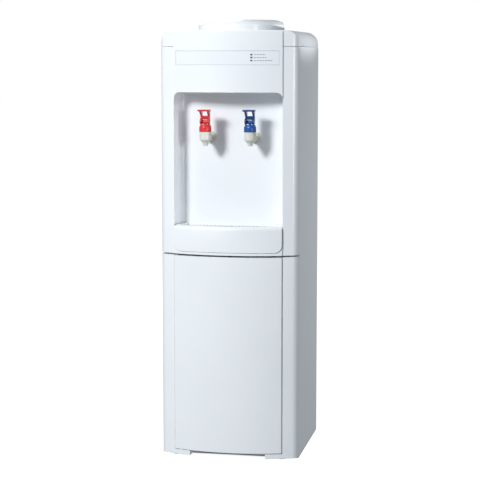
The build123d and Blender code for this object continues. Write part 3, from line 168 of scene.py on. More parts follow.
class DispenserStage(PropertyGroup):
    """The camera, the floor and the light."""

    yaw: angle("Camera yaw", "Turn of the camera to the right of the front", 0.19667)
    pitch: angle("Camera pitch", "Tilt of the camera below the horizon", 0.10846)
    distance: length("Camera distance", "From the upright axis to the camera", 3.43559)
    height: length("Camera height", "From the floor to the camera", 0.88043)
    lens: FloatProperty(
        name="Lens", description="Focal length", default=113.493, subtype="DISTANCE_CAMERA"
    )
    shift: number("Shift", "Upward shift of the picture's frame", -0.03125)
    ambient: number("Ambient", "Strength of the light from all sides", 0.34)
    floor_glow: number("Floor glow", "Light that the pale floor gives off", 0.9)
    key_power: power("Key power", "Power of the main light", 121.0)
    key_turn: angle("Key turn", "Turn of the main light to the left of the front", radians(25))
    key_rise: angle("Key rise", "Height of the main light above the horizon", radians(24))
    key_distance: length("Key distance", "From the taps to the main light", 3.7)
    key_size: length("Key size", "Side of the main light", 0.72)
    fill_power: power("Fill power", "Power of the light over the right side", 2.5)
    rim_power: power("Rim power", "Power of the light on the right of the cover", 1.5)
    back_power: power("Back power", "Power of the light from the rear", 40.0)
    gloss_power: power("Gloss power", "Power of the shine high on the right column", 7.5)
    glint_power: power("Glint power", "Power of the shine lower on the right column", 4.0)
    slit_power: power("Slit power", "Power of the narrow light on the alcove's left wall", 0.014)


# Finishes


class Value:
    """A shader socket in plain arithmetic: each operator adds a Math node."""

    def __init__(self, finish, socket):
        self.finish = finish
        self.socket = socket

    def out(self, name):
        """Another output of the same node."""
        return Value(self.finish, self.socket.node.outputs[name])

    def maths(self, operation, first, second):
        """A Math node on two values or numbers."""
        return self.finish.node("ShaderNodeMath", {"operation": operation}, {0: first, 1: second})

    def __add__(self, other):
        return self.maths("ADD", self, other)

    def __sub__(self, other):
        return self.maths("SUBTRACT", self, other)

    def __rsub__(self, other):
        return self.maths("SUBTRACT", other, self)

    def __mul__(self, other):
        return self.maths("MULTIPLY", self, other)

    def __mod__(self, other):
        return self.maths("FLOORED_MODULO", self, other)

    def __lt__(self, other):
        return self.maths("LESS_THAN", self, other)

    def __gt__(self, other):
        return self.maths("GREATER_THAN", self, other)

    def __abs__(self):
        return self.maths("ABSOLUTE", self, 0.0)

    __radd__ = __add__
    __rmul__ = __mul__

    def least(self, other):
        """The lower of two values."""
        return self.maths("MINIMUM", self, other)

    def most(self, other):
        """The higher of two values."""
        return self.maths("MAXIMUM", self, other)

    def swing(self, reach):
        """A share from 0 to 1 turned into an amount to either side of nothing."""
        return reach * (self - 0.5)


class Finish:
    """One procedural material that reads the object's own coordinates."""

    def __init__(self, name):
        self.material = bpy.data.materials.new(name)
        self.material.use_nodes = True
        self.tree = self.material.node_tree
        self.shader = next(node for node in self.tree.nodes if node.type == "BSDF_PRINCIPLED")
        self.place = self.node("ShaderNodeTexCoord").out("Object")

    def node(self, kind, settings=None, sockets=None):
        """Add a node: its settings first, then the values or links of its sockets."""
        made = self.tree.nodes.new(kind)
        for name, value in (settings or {}).items():
            setattr(made, name, value)
        for name, value in (sockets or {}).items():
            self.feed(made.inputs[name], value)
        return Value(self, made.outputs[0])

    def feed(self, socket, value):
        """Link a value to a socket, or set the socket's own number or colour."""
        if isinstance(value, Value):
            self.tree.links.new(value.socket, socket)
        elif socket.type == "RGBA":
            socket.default_value = (*value, 1.0)
        else:
            socket.default_value = value

    def surface(self, **sockets):
        """Set or link the shader's sockets, named with underscores for spaces."""
        for name, value in sockets.items():
            self.feed(self.shader.inputs[name.replace("_", " ")], value)

    def along(self):
        """The three coordinates as values."""
        parts = self.node("ShaderNodeSeparateXYZ", sockets={"Vector": self.place})
        return parts.out("X"), parts.out("Y"), parts.out("Z")

    def noise(self, scale, detail=2.0):
        """Soft noise with so many features to the metre."""
        sockets = {"Vector": self.place, "Scale": scale, "Detail": detail}
        return self.node("ShaderNodeTexNoise", sockets=sockets)

    def streaks(self, scales, detail):
        """Noise with so many features to the metre along each axis."""
        drawn = self.node("ShaderNodeMapping", sockets={"Vector": self.place, "Scale": scales})
        sockets = {"Vector": drawn, "Scale": 1.0, "Detail": detail}
        return self.node("ShaderNodeTexNoise", sockets=sockets)

    def cells(self, scale):
        """Distance to the nearest of scattered points."""
        return self.node("ShaderNodeTexVoronoi", sockets={"Vector": self.place, "Scale": scale})

    def between(self, value, low, high):
        """A smooth step from 0 at low to 1 at high."""
        settings = {"interpolation_type": "SMOOTHSTEP"}
        sockets = {"Value": value, "From Min": low, "From Max": high}
        return self.node("ShaderNodeMapRange", settings, sockets)

    def blend(self, share, first, second):
        """A colour between two."""
        sockets = {0: share, 6: first, 7: second}
        return self.node("ShaderNodeMix", {"data_type": "RGBA"}, sockets).out(2)

    def shades(self, share, colour, low, high):
        """A colour that runs from one tone of itself to another."""
        return self.blend(share, toned(colour, low), toned(colour, high))

    def bump(self, height, strength, depth):
        """A normal that follows a height."""
        sockets = {"Height": height, "Strength": strength, "Distance": depth}
        return self.node("ShaderNodeBump", sockets=sockets)


def toned(colour, share):
    """A colour made darker or lighter by a share."""
    return tuple(min(1.0, channel * share) for channel in colour)


def scuffs(finish):
    """Faint hairline marks in scattered patches, as a share from 0 to 1."""
    lines = finish.between(finish.streaks((30.0, 30.0, 420.0), detail=4.0), low=0.62, high=0.70)
    patches = finish.between(finish.noise(14.0), low=0.52, high=0.68)
    return lines * patches


def moulded(finish, colour, gloss, peel_scale=620.0, peel_depth=0.02 * MM, tint=0.97, rub=0.05):
    """Moulded plastic: slow flow marks in its colour, orange peel and faint rub marks."""
    flow = finish.noise(7.0, detail=3.0)
    peel = finish.noise(peel_scale)
    finish.surface(
        Base_Color=finish.shades(flow, colour, tint, 2.0 - tint),
        Roughness=gloss + flow.swing(0.05) + peel.swing(0.04) + rub * scuffs(finish),
        Normal=finish.bump(peel, strength=0.25, depth=peel_depth),
        IOR=1.5,
    )


def painted(finish, colour, gloss, grain):
    """Powder paint on sheet: a fine pebbled skin with slight patches."""
    pebbles = finish.cells(grain)
    patches = finish.noise(9.0, detail=4.0)
    skin = finish.noise(grain, detail=3.0) + 0.4 * pebbles
    finish.surface(
        Base_Color=finish.shades(patches, colour, 0.965, 1.02),
        Roughness=gloss + patches.swing(0.06) + 0.08 * pebbles,
        Normal=finish.bump(skin, strength=0.3, depth=0.03 * MM),
    )


def brushed(finish, colour, gloss, scales):
    """Metal with fine lines drawn along one axis."""
    lines = finish.streaks(scales, detail=5.0)
    stains = finish.noise(22.0, detail=4.0)
    finish.surface(
        Base_Color=finish.shades(stains, colour, 0.86, 1.08),
        Metallic=1.0,
        Roughness=gloss + lines.swing(0.16) + stains.swing(0.10),
        Normal=finish.bump(lines, strength=0.2, depth=0.02 * MM),
    )


def white_moulding(finish, colour):
    """Satin white plastic with a thin clear skin."""
    moulded(finish, colour, gloss=0.30)
    finish.surface(Coat_Weight=0.25, Coat_Roughness=0.12)


def white_sheet(finish, colour):
    """White paint of the side panels."""
    painted(finish, colour, gloss=0.40, grain=900.0)


def rear_sheet(finish, colour):
    """Duller grey paint of the rear panel."""
    painted(finish, colour, gloss=0.48, grain=700.0)


def lens_row():
    """The lenses' middle, radius and levels, from the top one down."""
    low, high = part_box("indicator_lenses")
    radius = (high.x - low.x) / 2
    pitch = (high.z - low.z - 2 * radius) / (LENS_COUNT - 1)
    levels = [high.z - radius - row * pitch for row in range(LENS_COUNT)]
    return (low.x + high.x) / 2, radius, levels


def label_strip(finish, colour):
    """Printed film: a thin grey border and a row of plain dashes beside each lens."""
    border_ink = 0.24
    print_ink = 0.95
    print_lengths = (25 * MM, 27 * MM, 39 * MM)
    print_gap = 3.8 * MM
    print_half_height = 0.7 * MM
    dash_pitch = 6.0 * MM
    dash_length = 4.6 * MM
    low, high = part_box("indicator_strip")
    middle, radius, levels = lens_row()
    x, _, z = finish.along()
    above = abs(z - (low.z + high.z) / 2)
    edge = (high.x - abs(x)).least((high.z - low.z) / 2 - above)
    ink = border_ink * (1 - finish.between(edge, low=0.3 * MM, high=1.0 * MM))
    start = middle + radius + print_gap
    dash = ((x - start) % dash_pitch) < dash_length
    for level, reach in zip(levels, print_lengths):
        line = abs(z - level) < print_half_height
        inside = (x > start) * (x < start + reach)
        ink = ink.most(line * inside * dash * print_ink)
    film = finish.noise(11.0, detail=3.0)
    finish.surface(
        Base_Color=finish.blend(ink, finish.shades(film, colour, 0.98, 1.01), PRINT_INK),
        Roughness=0.20 + 0.05 * film + 0.2 * ink,
        Normal=finish.bump(finish.noise(300.0), strength=0.1, depth=0.01 * MM),
    )


def dark_lens(finish, colour):
    """Dark clear plastic with a slight haze."""
    grain = finish.noise(1800.0)
    haze = finish.noise(320.0)
    finish.surface(
        Base_Color=finish.shades(haze, colour, 0.7, 1.8),
        Roughness=0.22 + 0.08 * grain,
        Normal=finish.bump(grain, strength=0.08, depth=0.01 * MM),
    )


def ivory_tap(finish, colour):
    """Ivory plastic that lets a little light in."""
    moulded(finish, colour, gloss=0.32, peel_scale=900.0, tint=0.95)
    finish.surface(Subsurface_Weight=0.08, Subsurface_Radius=(4 * MM, 4 * MM, 3 * MM))


def bright_plastic(finish, colour):
    """Smooth coloured plastic of the bonnets and stems."""
    moulded(finish, colour, gloss=0.27, peel_scale=1100.0, tint=0.90)


def lever_plastic_painted_shade(finish, colour, share):
    """The levers' plastic: the bonnets' colour darkened as painted shade, with a handled shine."""
    # painted shade: the lever is a darker copy of its bonnet's colour
    moulded(finish, toned(colour, share), gloss=0.24, peel_scale=1100.0, tint=0.86, rub=0.10)


def hot_lever(finish, colour):
    """The hot lever, its bonnet's colour a little darker as painted shade."""
    lever_plastic_painted_shade(finish, colour, share=0.82)


def cold_lever(finish, colour):
    """The cold lever, its bonnet's colour much darker as painted shade."""
    lever_plastic_painted_shade(finish, colour, share=0.55)


def silicone(finish, colour):
    """Translucent silicone with a dusty bloom."""
    bloom = finish.noise(60.0, detail=4.0)
    finish.surface(
        Base_Color=finish.shades(bloom, colour, 0.92, 1.06),
        Roughness=0.38 + 0.2 * bloom,
        Normal=finish.bump(finish.noise(1500.0), strength=0.15, depth=0.02 * MM),
        Subsurface_Weight=0.25,
        Subsurface_Radius=(3 * MM, 3 * MM, 3 * MM),
    )


def rubber(finish, colour):
    """Matt rubber with a pebbled skin and pale dust in it."""
    pebbles = finish.cells(1300.0)
    dust = finish.noise(45.0, detail=5.0)
    finish.surface(
        Base_Color=finish.shades(finish.between(dust, low=0.45, high=0.8), colour, 1.0, 1.7),
        Roughness=0.72 + 0.15 * dust,
        Normal=finish.bump(pebbles, strength=0.4, depth=0.05 * MM),
        Specular_IOR_Level=0.3,
    )


def inner_moulding(finish, colour):
    """Plain mouldings that are handled less: the grille, the seat and the nuts."""
    moulded(finish, colour, gloss=0.36, peel_scale=900.0, tint=0.96)


def inner_plastic(finish, colour):
    """Inner mouldings with a fine spark grain."""
    moulded(finish, colour, gloss=0.50, peel_scale=1600.0, peel_depth=0.05 * MM, tint=0.96)


def steel(finish, colour):
    """Drawn steel of the tanks, pins and screws."""
    brushed(finish, colour, gloss=0.30, scales=(900.0, 900.0, 20.0))


def sink_aluminium(finish, colour):
    """Pressed aluminium of the heat sink."""
    brushed(finish, colour, gloss=0.38, scales=(1400.0, 1400.0, 12.0))


def black_plastic(finish, colour):
    """Grained black plastic with rub marks."""
    moulded(
        finish, colour, gloss=0.46, peel_scale=1500.0, peel_depth=0.05 * MM, tint=0.75, rub=0.12
    )


def foam(finish, colour):
    """Closed-cell foam: small round cells, some of them deeper, with painted shade darkening each
    cell's middle where the bump dips.
    """
    cells = finish.cells(420.0)
    finish.surface(
        # painted shade: darker in each cell's middle, where the bump dips
        Base_Color=finish.shades(cells, colour, 0.88, 1.04),
        Roughness=0.80 + 0.1 * cells,
        Normal=finish.bump(cells, strength=0.5, depth=0.3 * MM),
        Specular_IOR_Level=0.2,
    )


def module_ceramic(finish, colour):
    """Fired ceramic tile with fine specks."""
    specks = finish.between(finish.cells(900.0), low=0.05, high=0.25)
    finish.surface(
        Base_Color=finish.shades(specks, colour, 0.7, 1.0),
        Roughness=0.55 + 0.1 * specks,
        Normal=finish.bump(finish.noise(900.0), strength=0.15, depth=0.02 * MM),
    )


def board_green(finish, colour):
    """Coated board: fine tracks under the green lacquer."""
    track_width = 0.8 * MM
    x, y, z = finish.along()
    bend = finish.noise(70.0, detail=1.0) * (6 * MM)
    across = ((x + y + bend) % (2.4 * MM)) < track_width
    up = ((z + bend) % (3.0 * MM)) < track_width
    tracks = across.most(up)
    finish.surface(
        Base_Color=finish.shades(tracks, colour, 1.0, 1.5),
        Roughness=0.30 + 0.1 * tracks,
        Normal=finish.bump(tracks, strength=0.2, depth=0.03 * MM),
    )


FINISHES = {
    "white_moulding": white_moulding,
    "white_sheet": white_sheet,
    "rear_sheet": rear_sheet,
    "label_strip": label_strip,
    "dark_lens": dark_lens,
    "ivory_tap": ivory_tap,
    "red_plastic": bright_plastic,
    "blue_plastic": bright_plastic,
    "silicone": silicone,
    "black_rubber": rubber,
    "grey_rubber": rubber,
    "grille_plastic": inner_moulding,
    "seat_plastic": inner_moulding,
    "inner_plastic": inner_plastic,
    "valve_plastic": inner_moulding,
    "steel": steel,
    "sink_aluminium": sink_aluminium,
    "black_plastic": black_plastic,
    "foam": foam,
    "module_ceramic": module_ceramic,
    "board_green": board_green,
}


def material_for(slot, context, look=None):
    """The material of a slot, or of one look of it, made the first time that it is asked for."""
    look = look or FINISHES[slot]
    name = f"finish_{slot}_{look.__name__}"
    found = bpy.data.materials.get(name)
    if found is None:
        finish = Finish(name)
        look(finish, tuple(getattr(context.scene.dispenser_colours, slot, slot_colours[slot])))
        found = finish.material
    return found


# How pieces are made


def merged_copy(node):
    """A copy of a node's mesh with its points merged and its flat faces joined."""
    shape = bmesh.new()
    shape.from_mesh(frame["nodes"][node].data)
    bmesh.ops.remove_doubles(shape, verts=shape.verts, dist=MERGE_DISTANCE)
    bmesh.ops.dissolve_limit(
        shape, angle_limit=FLAT_ANGLE, verts=shape.verts, edges=shape.edges
    )
    return shape


def grown(shape, faces):
    """Extrude faces and give the points of the new ends."""
    made = bmesh.ops.extrude_face_region(shape, geom=faces)
    return [part for part in made["geom"] if isinstance(part, bmesh.types.BMVert)]


def inset(shape, faces, width):
    """Draw the outline of some faces inwards and give the border that this leaves."""
    made = bmesh.ops.inset_region(
        shape, faces=faces, thickness=width, use_boundary=True, use_even_offset=True
    )
    return made["faces"]


def show(context, shape, name, body, slot, look=None):
    """Turn a finished shape into a piece that rides on a body, in its slot's finish."""
    bmesh.ops.recalc_face_normals(shape, faces=shape.faces)
    mesh = bpy.data.meshes.new(name)
    shape.to_mesh(mesh)
    shape.free()
    mesh.shade_smooth()
    mesh.set_sharp_from_angle(angle=SMOOTH_ANGLE)
    mesh.materials.append(material_for(slot, context, look))
    piece = bpy.data.objects.new(name, mesh)
    context.scene.collection.objects.link(piece)
    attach(piece, body)
    return piece


def soften(context, node, width, look=None):
    """Stand a copy of a node with rounded edges in the node's place."""
    shape = merged_copy(node)
    piece = show(context, shape, f"{node}_soft", body_of[node], slot_of[node], look)
    edge = piece.modifiers.new("rounded_edges", "BEVEL")
    edge.width = width
    edge.segments = context.scene.dispenser_edges.steps
    edge.limit_method = "ANGLE"
    edge.angle_limit = SHARP_ANGLE
    edge.use_clamp_overlap = False
    shade = piece.modifiers.new("even_shading", "WEIGHTED_NORMAL")
    shade.keep_sharp = True
    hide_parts(node)


def dress(context, node):
    """Give a node that stays as it is its slot's finish."""
    mesh = frame["nodes"][node].data
    mesh.materials.clear()
    mesh.materials.append(material_for(slot_of[node], context))


# Pieces


def cover_tongue(context):
    """A tongue under the cover's rim that stands in the seam, a little behind the faces."""
    setback = 0.1 * MM
    play = 0.1 * MM
    facing_down = -0.99
    rim_band = 1.0 * MM
    low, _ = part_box("top_cover")
    _, side_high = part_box("left_side_panel")
    shape = merged_copy("top_cover")
    rim = [
        face
        for face in shape.faces
        if face.normal.z < facing_down and face.calc_center_median().z < low.z + rim_band
    ]
    rest = [face for face in shape.faces if face not in rim]
    bmesh.ops.delete(shape, geom=rest, context="FACES")
    bmesh.ops.delete(shape, geom=inset(shape, rim, setback), context="FACES")
    bmesh.ops.solidify(shape, geom=shape.faces[:], thickness=low.z - side_high.z - play)
    show(context, shape, "cover_tongue", body_of["top_cover"], slot_of["top_cover"])


def door_jambs(context):
    """A rounded strip in the gap at each side of the door, a little behind the front columns."""
    low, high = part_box("door_panel")
    outer = high.x + 1.45 * MM
    inner = high.x + 0.45 * MM
    front = low.y + 24.6 * MM
    back = front + 9.0 * MM
    nose = 0.3 * MM
    section = (
        (outer, front),
        (inner + nose, front),
        (inner, front + nose),
        (inner, back),
        (outer, back),
    )
    shape = bmesh.new()
    for side in (-1, 1):
        foot = shape.faces.new([shape.verts.new((side * x, y, low.z)) for x, y in section])
        raised = grown(shape, [foot])
        bmesh.ops.translate(shape, verts=raised, vec=(0.0, 0.0, high.z - low.z))
    show(context, shape, "door_jambs", body_of["lower_frame"], slot_of["lower_frame"])


class DISPENSER_OT_shell(Operator):
    """Make the cover, fascia, lower frame, door and side panels"""

    bl_idname = "dispenser.shell"
    bl_label = "Shell"

    def execute(self, context):
        edges = context.scene.dispenser_edges
        for node in ("top_cover", "upper_fascia"):
            soften(context, node, edges.fine)
        for node in ("lower_frame", "door_panel"):
            soften(context, node, edges.rim)
        for node in ("left_side_panel", "right_side_panel"):
            soften(context, node, edges.sheet)
        cover_tongue(context)
        door_jambs(context)
        return {"FINISHED"}


class DISPENSER_OT_receiver(Operator):
    """Make the bottle collar, the seat and its seal"""

    bl_idname = "dispenser.receiver"
    bl_label = "Bottle receiver"

    def execute(self, context):
        edges = context.scene.dispenser_edges
        soften(context, "bottle_collar", edges.moulding)
        soften(context, "bottle_seat", edges.rim)
        dress(context, "seat_seal")
        return {"FINISHED"}


def lens_bezels(context):
    """A dark oval frame round each lens, set square to the bowed strip."""
    half_width = 2.6 * MM
    half_height = 1.5 * MM
    thickness = 0.2 * MM
    strip_low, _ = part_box("indicator_strip")
    middle, _, levels = lens_row()
    lean = asin(middle / FRONT_BOW)
    face = strip_low.y + FRONT_BOW * (1 - cos(lean))
    upright = Matrix.Rotation(lean, 4, "Z") @ Matrix.Rotation(pi / 2, 4, "X")
    shape = bmesh.new()
    for level in levels:
        made = bmesh.ops.create_circle(shape, cap_ends=True, radius=1.0, segments=32)
        oval = made["verts"]
        bmesh.ops.scale(shape, vec=(half_width, half_height, 1.0), verts=oval)
        raised = grown(shape, oval[0].link_faces[:])
        bmesh.ops.translate(shape, verts=raised, vec=(0.0, 0.0, thickness))
        stand = Matrix.Translation((middle, face, level)) @ upright
        bmesh.ops.transform(shape, matrix=stand, verts=oval + raised)
    show(
        context,
        shape,
        "lens_bezels",
        body_of["indicator_lenses"],
        slot_of["indicator_lenses"],
    )


class DISPENSER_OT_strip(Operator):
    """Make the label strip, its lenses and their bezels"""

    bl_idname = "dispenser.strip"
    bl_label = "Label strip"

    def execute(self, context):
        soften(context, "indicator_strip", context.scene.dispenser_edges.fine)
        dress(context, "indicator_lenses")
        dress(context, "indicator_board")
        lens_bezels(context)
        return {"FINISHED"}


class DISPENSER_OT_tray(Operator):
    """Make the drip tray and its grille"""

    bl_idname = "dispenser.tray"
    bl_label = "Drip tray"

    def execute(self, context):
        edges = context.scene.dispenser_edges
        soften(context, "drip_tray", edges.fine)
        soften(context, "drip_grille", edges.fine)
        return {"FINISHED"}


def tap_spring(context, side):
    """A wound spring over a tap's stem."""
    node = f"{side}_tap_spring"
    joint = f"{side}_valve_lift"
    low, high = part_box(node)
    middle = (low + high) / 2
    wire = 0.6 * MM
    coil = (high.x - low.x) / 2 - wire
    rise = high.z - low.z - 2 * wire
    turns = 4
    steps = 24 * turns
    shape = bmesh.new()
    start = bmesh.ops.create_circle(shape, radius=wire, segments=10)["verts"]
    foot = Matrix.Translation((middle.x + coil, middle.y, low.z + wire))
    bmesh.ops.transform(shape, matrix=foot @ Matrix.Rotation(pi / 2, 4, "X"), verts=start)
    bmesh.ops.spin(
        shape,
        geom=shape.verts[:] + shape.edges[:],
        cent=middle,
        axis=(0.0, 0.0, 1.0),
        dvec=(0.0, 0.0, rise / steps),
        angle=2 * pi * turns,
        steps=steps,
    )
    bmesh.ops.holes_fill(shape, edges=[line for line in shape.edges if line.is_boundary])
    piece = show(context, shape, f"{side}_wound_spring", body_of[node], slot_of[node])
    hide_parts(node)
    joints = record["behaviour"]["joints"]
    lift = next(row["range_m"][1] for row in joints if row["name"] == joint)
    keep = 1 - lift / (high.z - low.z)
    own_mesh(piece)


class DISPENSER_OT_taps(Operator):
    """Make the two lever taps"""

    bl_idname = "dispenser.taps"
    bl_label = "Taps"

    def execute(self, context):
        edges = context.scene.dispenser_edges
        # the levers take a darker copy of the bonnets' colour, as painted shade
        for side, shaded_lever_look in (("hot", hot_lever), ("cold", cold_lever)):
            soften(context, f"{side}_tap_lever", edges.rim, shaded_lever_look)
            soften(context, f"{side}_tap_body", edges.rim)
            soften(context, f"{side}_tap_bonnet", edges.fine)
            for part in ("stem", "pin", "cup"):
                dress(context, f"{side}_tap_{part}")
            tap_spring(context, side)
        dress(context, "tap_nuts")
        return {"FINISHED"}


class DISPENSER_OT_cupboard(Operator):
    """Make the cupboard behind the door and the base under it"""

    bl_idname = "dispenser.cupboard"
    bl_label = "Cupboard"

    def execute(self, context):
        edges = context.scene.dispenser_edges
        for node in ("cabinet_liner", "cabinet_shelf", "door_liner"):
            soften(context, node, edges.rim)
        for node in ("door_gasket", "catch_magnet", "hinge_pins", "base_plinth", "foot_pads"):
            dress(context, node)
        return {"FINISHED"}


def screw_head(shape, place, radius, height):
    """A low domed head with a cross recess, facing the rear."""
    rim_height = 0.72 * height
    recess_depth = 0.6 * height
    arm = 0.6 * radius
    slit = 0.2 * radius
    disc = bmesh.ops.create_grid(shape, x_segments=5, y_segments=5, size=radius)["verts"]
    tops = list({face for point in disc for face in point.link_faces})
    rim = [point for point in disc if point.is_boundary]
    for point in disc:
        point.co.z = height
    for point in rim:
        point.co.z = rim_height
        point.co.xy = radius * point.co.xy.normalized()
    cross = []
    for face in tops:
        near, far = sorted(abs(offset) for offset in face.calc_center_median().xy)
        if near < slit and far < arm:
            cross.append(face)
    edge = list({line for point in rim for line in point.link_edges if line.is_boundary})
    skirt = bmesh.ops.extrude_edge_only(shape, edges=edge)["geom"]
    foot = [part for part in skirt if isinstance(part, bmesh.types.BMVert) and part not in disc]
    for point in foot:
        point.co.z = 0.0
    hem = [part for part in skirt if isinstance(part, bmesh.types.BMEdge) and part.is_boundary]
    bmesh.ops.contextual_create(shape, geom=hem)
    floor = grown(shape, cross)
    bmesh.ops.delete(shape, geom=cross, context="FACES_ONLY")
    bmesh.ops.translate(shape, verts=floor, vec=(0.0, 0.0, -recess_depth))
    turn = Matrix.Translation(place) @ Matrix.Rotation(-pi / 2, 4, "X")
    bmesh.ops.transform(shape, matrix=turn, verts=list({*disc, *foot, *floor}))


def panel_screw_heads(context):
    """Two columns of cross-head screws down the edges of the rear panel."""
    radius = 3.6 * MM
    rows = 5
    low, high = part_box("panel_screws")
    _, panel_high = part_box("rear_panel")
    pitch = (high.z - low.z - 2 * radius) / (rows - 1)
    shape = bmesh.new()
    for x in (low.x + radius, high.x - radius):
        for row in range(rows):
            place = Vector((x, panel_high.y, low.z + radius + row * pitch))
            screw_head(shape, place, radius, high.y - panel_high.y)
    piece = show(
        context, shape, "panel_screw_heads", body_of["panel_screws"], slot_of["panel_screws"]
    )
    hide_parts("panel_screws")


def grip_ribs(context, node, start, end, count):
    """Small rounded ribs round a fitting that stands out of the rear panel."""
    width = 0.8 * MM
    height = 1.0 * MM
    rounding = 0.25 * MM
    low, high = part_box(node)
    middle = (low + high) / 2
    radius = (high.x - low.x) / 2
    shape = bmesh.new()
    rib = bmesh.ops.create_cube(shape, size=1.0)["verts"]
    bmesh.ops.scale(shape, vec=(width, end - start, height), verts=rib)
    seat = (middle.x, (start + end) / 2, middle.z + radius)
    bmesh.ops.translate(shape, vec=seat, verts=rib)
    bmesh.ops.bevel(
        shape,
        geom=shape.edges[:],
        offset=rounding,
        segments=2,
        profile=0.5,
        affect="EDGES",
        material=-1,
    )
    bmesh.ops.spin(
        shape,
        geom=shape.verts[:] + shape.edges[:] + shape.faces[:],
        cent=(middle.x, 0.0, middle.z),
        axis=(0.0, 1.0, 0.0),
        angle=2 * pi * (count - 1) / count,
        steps=count - 1,
        use_duplicate=True,
    )
    show(context, shape, f"{node}_ribs", body_of[node], slot_of[node])


def rocker_marks(context, node):
    """A bar and a ring on a rocker's face, for on and off."""
    bar_half_width = 0.45 * MM
    bar_half_height = 2.2 * MM
    bar_place = 5.6 * MM
    ring_radius = 2.2 * MM
    ring_width = 0.8 * MM
    ring_place = -5.2 * MM
    thickness = 0.12 * MM
    facing_rear = 0.9
    copy = merged_copy(node)
    rear = [face for face in copy.faces if face.normal.y > facing_rear]
    face = max(rear, key=lambda part: part.calc_area())
    middle = face.calc_center_bounds()
    out = face.normal.copy()
    copy.free()
    up = Vector((1.0, 0.0, 0.0)).cross(out)
    across = up.cross(out)
    stand = Matrix((across, up, out)).transposed().to_4x4()
    shape = bmesh.new()
    bar = bmesh.ops.create_grid(shape, x_segments=1, y_segments=1, size=1.0)["verts"]
    bmesh.ops.scale(shape, vec=(bar_half_width, bar_half_height, 1.0), verts=bar)
    bmesh.ops.translate(shape, vec=(0.0, bar_place, 0.0), verts=bar)
    made = bmesh.ops.create_circle(shape, cap_ends=True, radius=ring_radius, segments=28)
    ring = made["verts"]
    bmesh.ops.translate(shape, vec=(0.0, ring_place, 0.0), verts=ring)
    disc = ring[0].link_faces[:]
    inset(shape, disc, ring_width)
    bmesh.ops.delete(shape, geom=disc, context="FACES")
    bmesh.ops.solidify(shape, geom=shape.faces[:], thickness=thickness)
    bmesh.ops.transform(shape, matrix=Matrix.Translation(middle) @ stand, verts=shape.verts)
    show(context, shape, f"{node}_marks", body_of[node], "white_moulding")


class DISPENSER_OT_rear(Operator):
    """Make the rear panel and its fittings"""

    bl_idname = "dispenser.rear"
    bl_label = "Rear fittings"

    def execute(self, context):
        edges = context.scene.dispenser_edges
        dress(context, "rear_panel")
        for node in ("switch_bodies", "heat_rocker", "cool_rocker", "cord_gland", "drain_cap"):
            soften(context, node, edges.fine)
        panel_screw_heads(context)
        _, panel_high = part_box("rear_panel")
        _, cap_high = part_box("drain_cap")
        face = panel_high.y
        grip_ribs(
            context, "drain_cap", start=face + 2.0 * MM, end=cap_high.y - 1.2 * MM, count=20
        )
        grip_ribs(context, "cord_gland", start=face + 0.4 * MM, end=face + 2.2 * MM, count=24)
        for node in ("heat_rocker", "cool_rocker"):
            rocker_marks(context, node)
        return {"FINISHED"}


class DISPENSER_OT_works(Operator):
    """Give the tanks, hoses, fan, boards and all else that shows as it is their finishes"""

    bl_idname = "dispenser.works"
    bl_label = "Inner works"

    def execute(self, context):
        for node, cad in frame["nodes"].items():
            if not cad.hide_render:
                dress(context, node)
        return {"FINISHED"}


# Stage


def turned(reach, turn, rise):
    """A step of some reach, with a turn to the right of the front and a rise above the horizon."""
    flat = reach * cos(rise)
    return Vector((flat * sin(turn), -flat * cos(turn), reach * sin(rise)))


def lamp(context, name, energy, size, target, step, spread=pi):
    """A rectangular light, a step away from the point that it looks at, with a given spread."""
    light = bpy.data.lights.new(name, "AREA")
    light.energy = energy
    light.color = LAMP_WHITE
    light.shape = "RECTANGLE"
    light.size, light.size_y = size
    light.spread = spread
    lit = bpy.data.objects.new(name, light)
    lit.location = target + step
    lit.rotation_euler = (-step).to_track_quat("-Z", "Y").to_euler()
    context.scene.collection.objects.link(lit)
    return lit


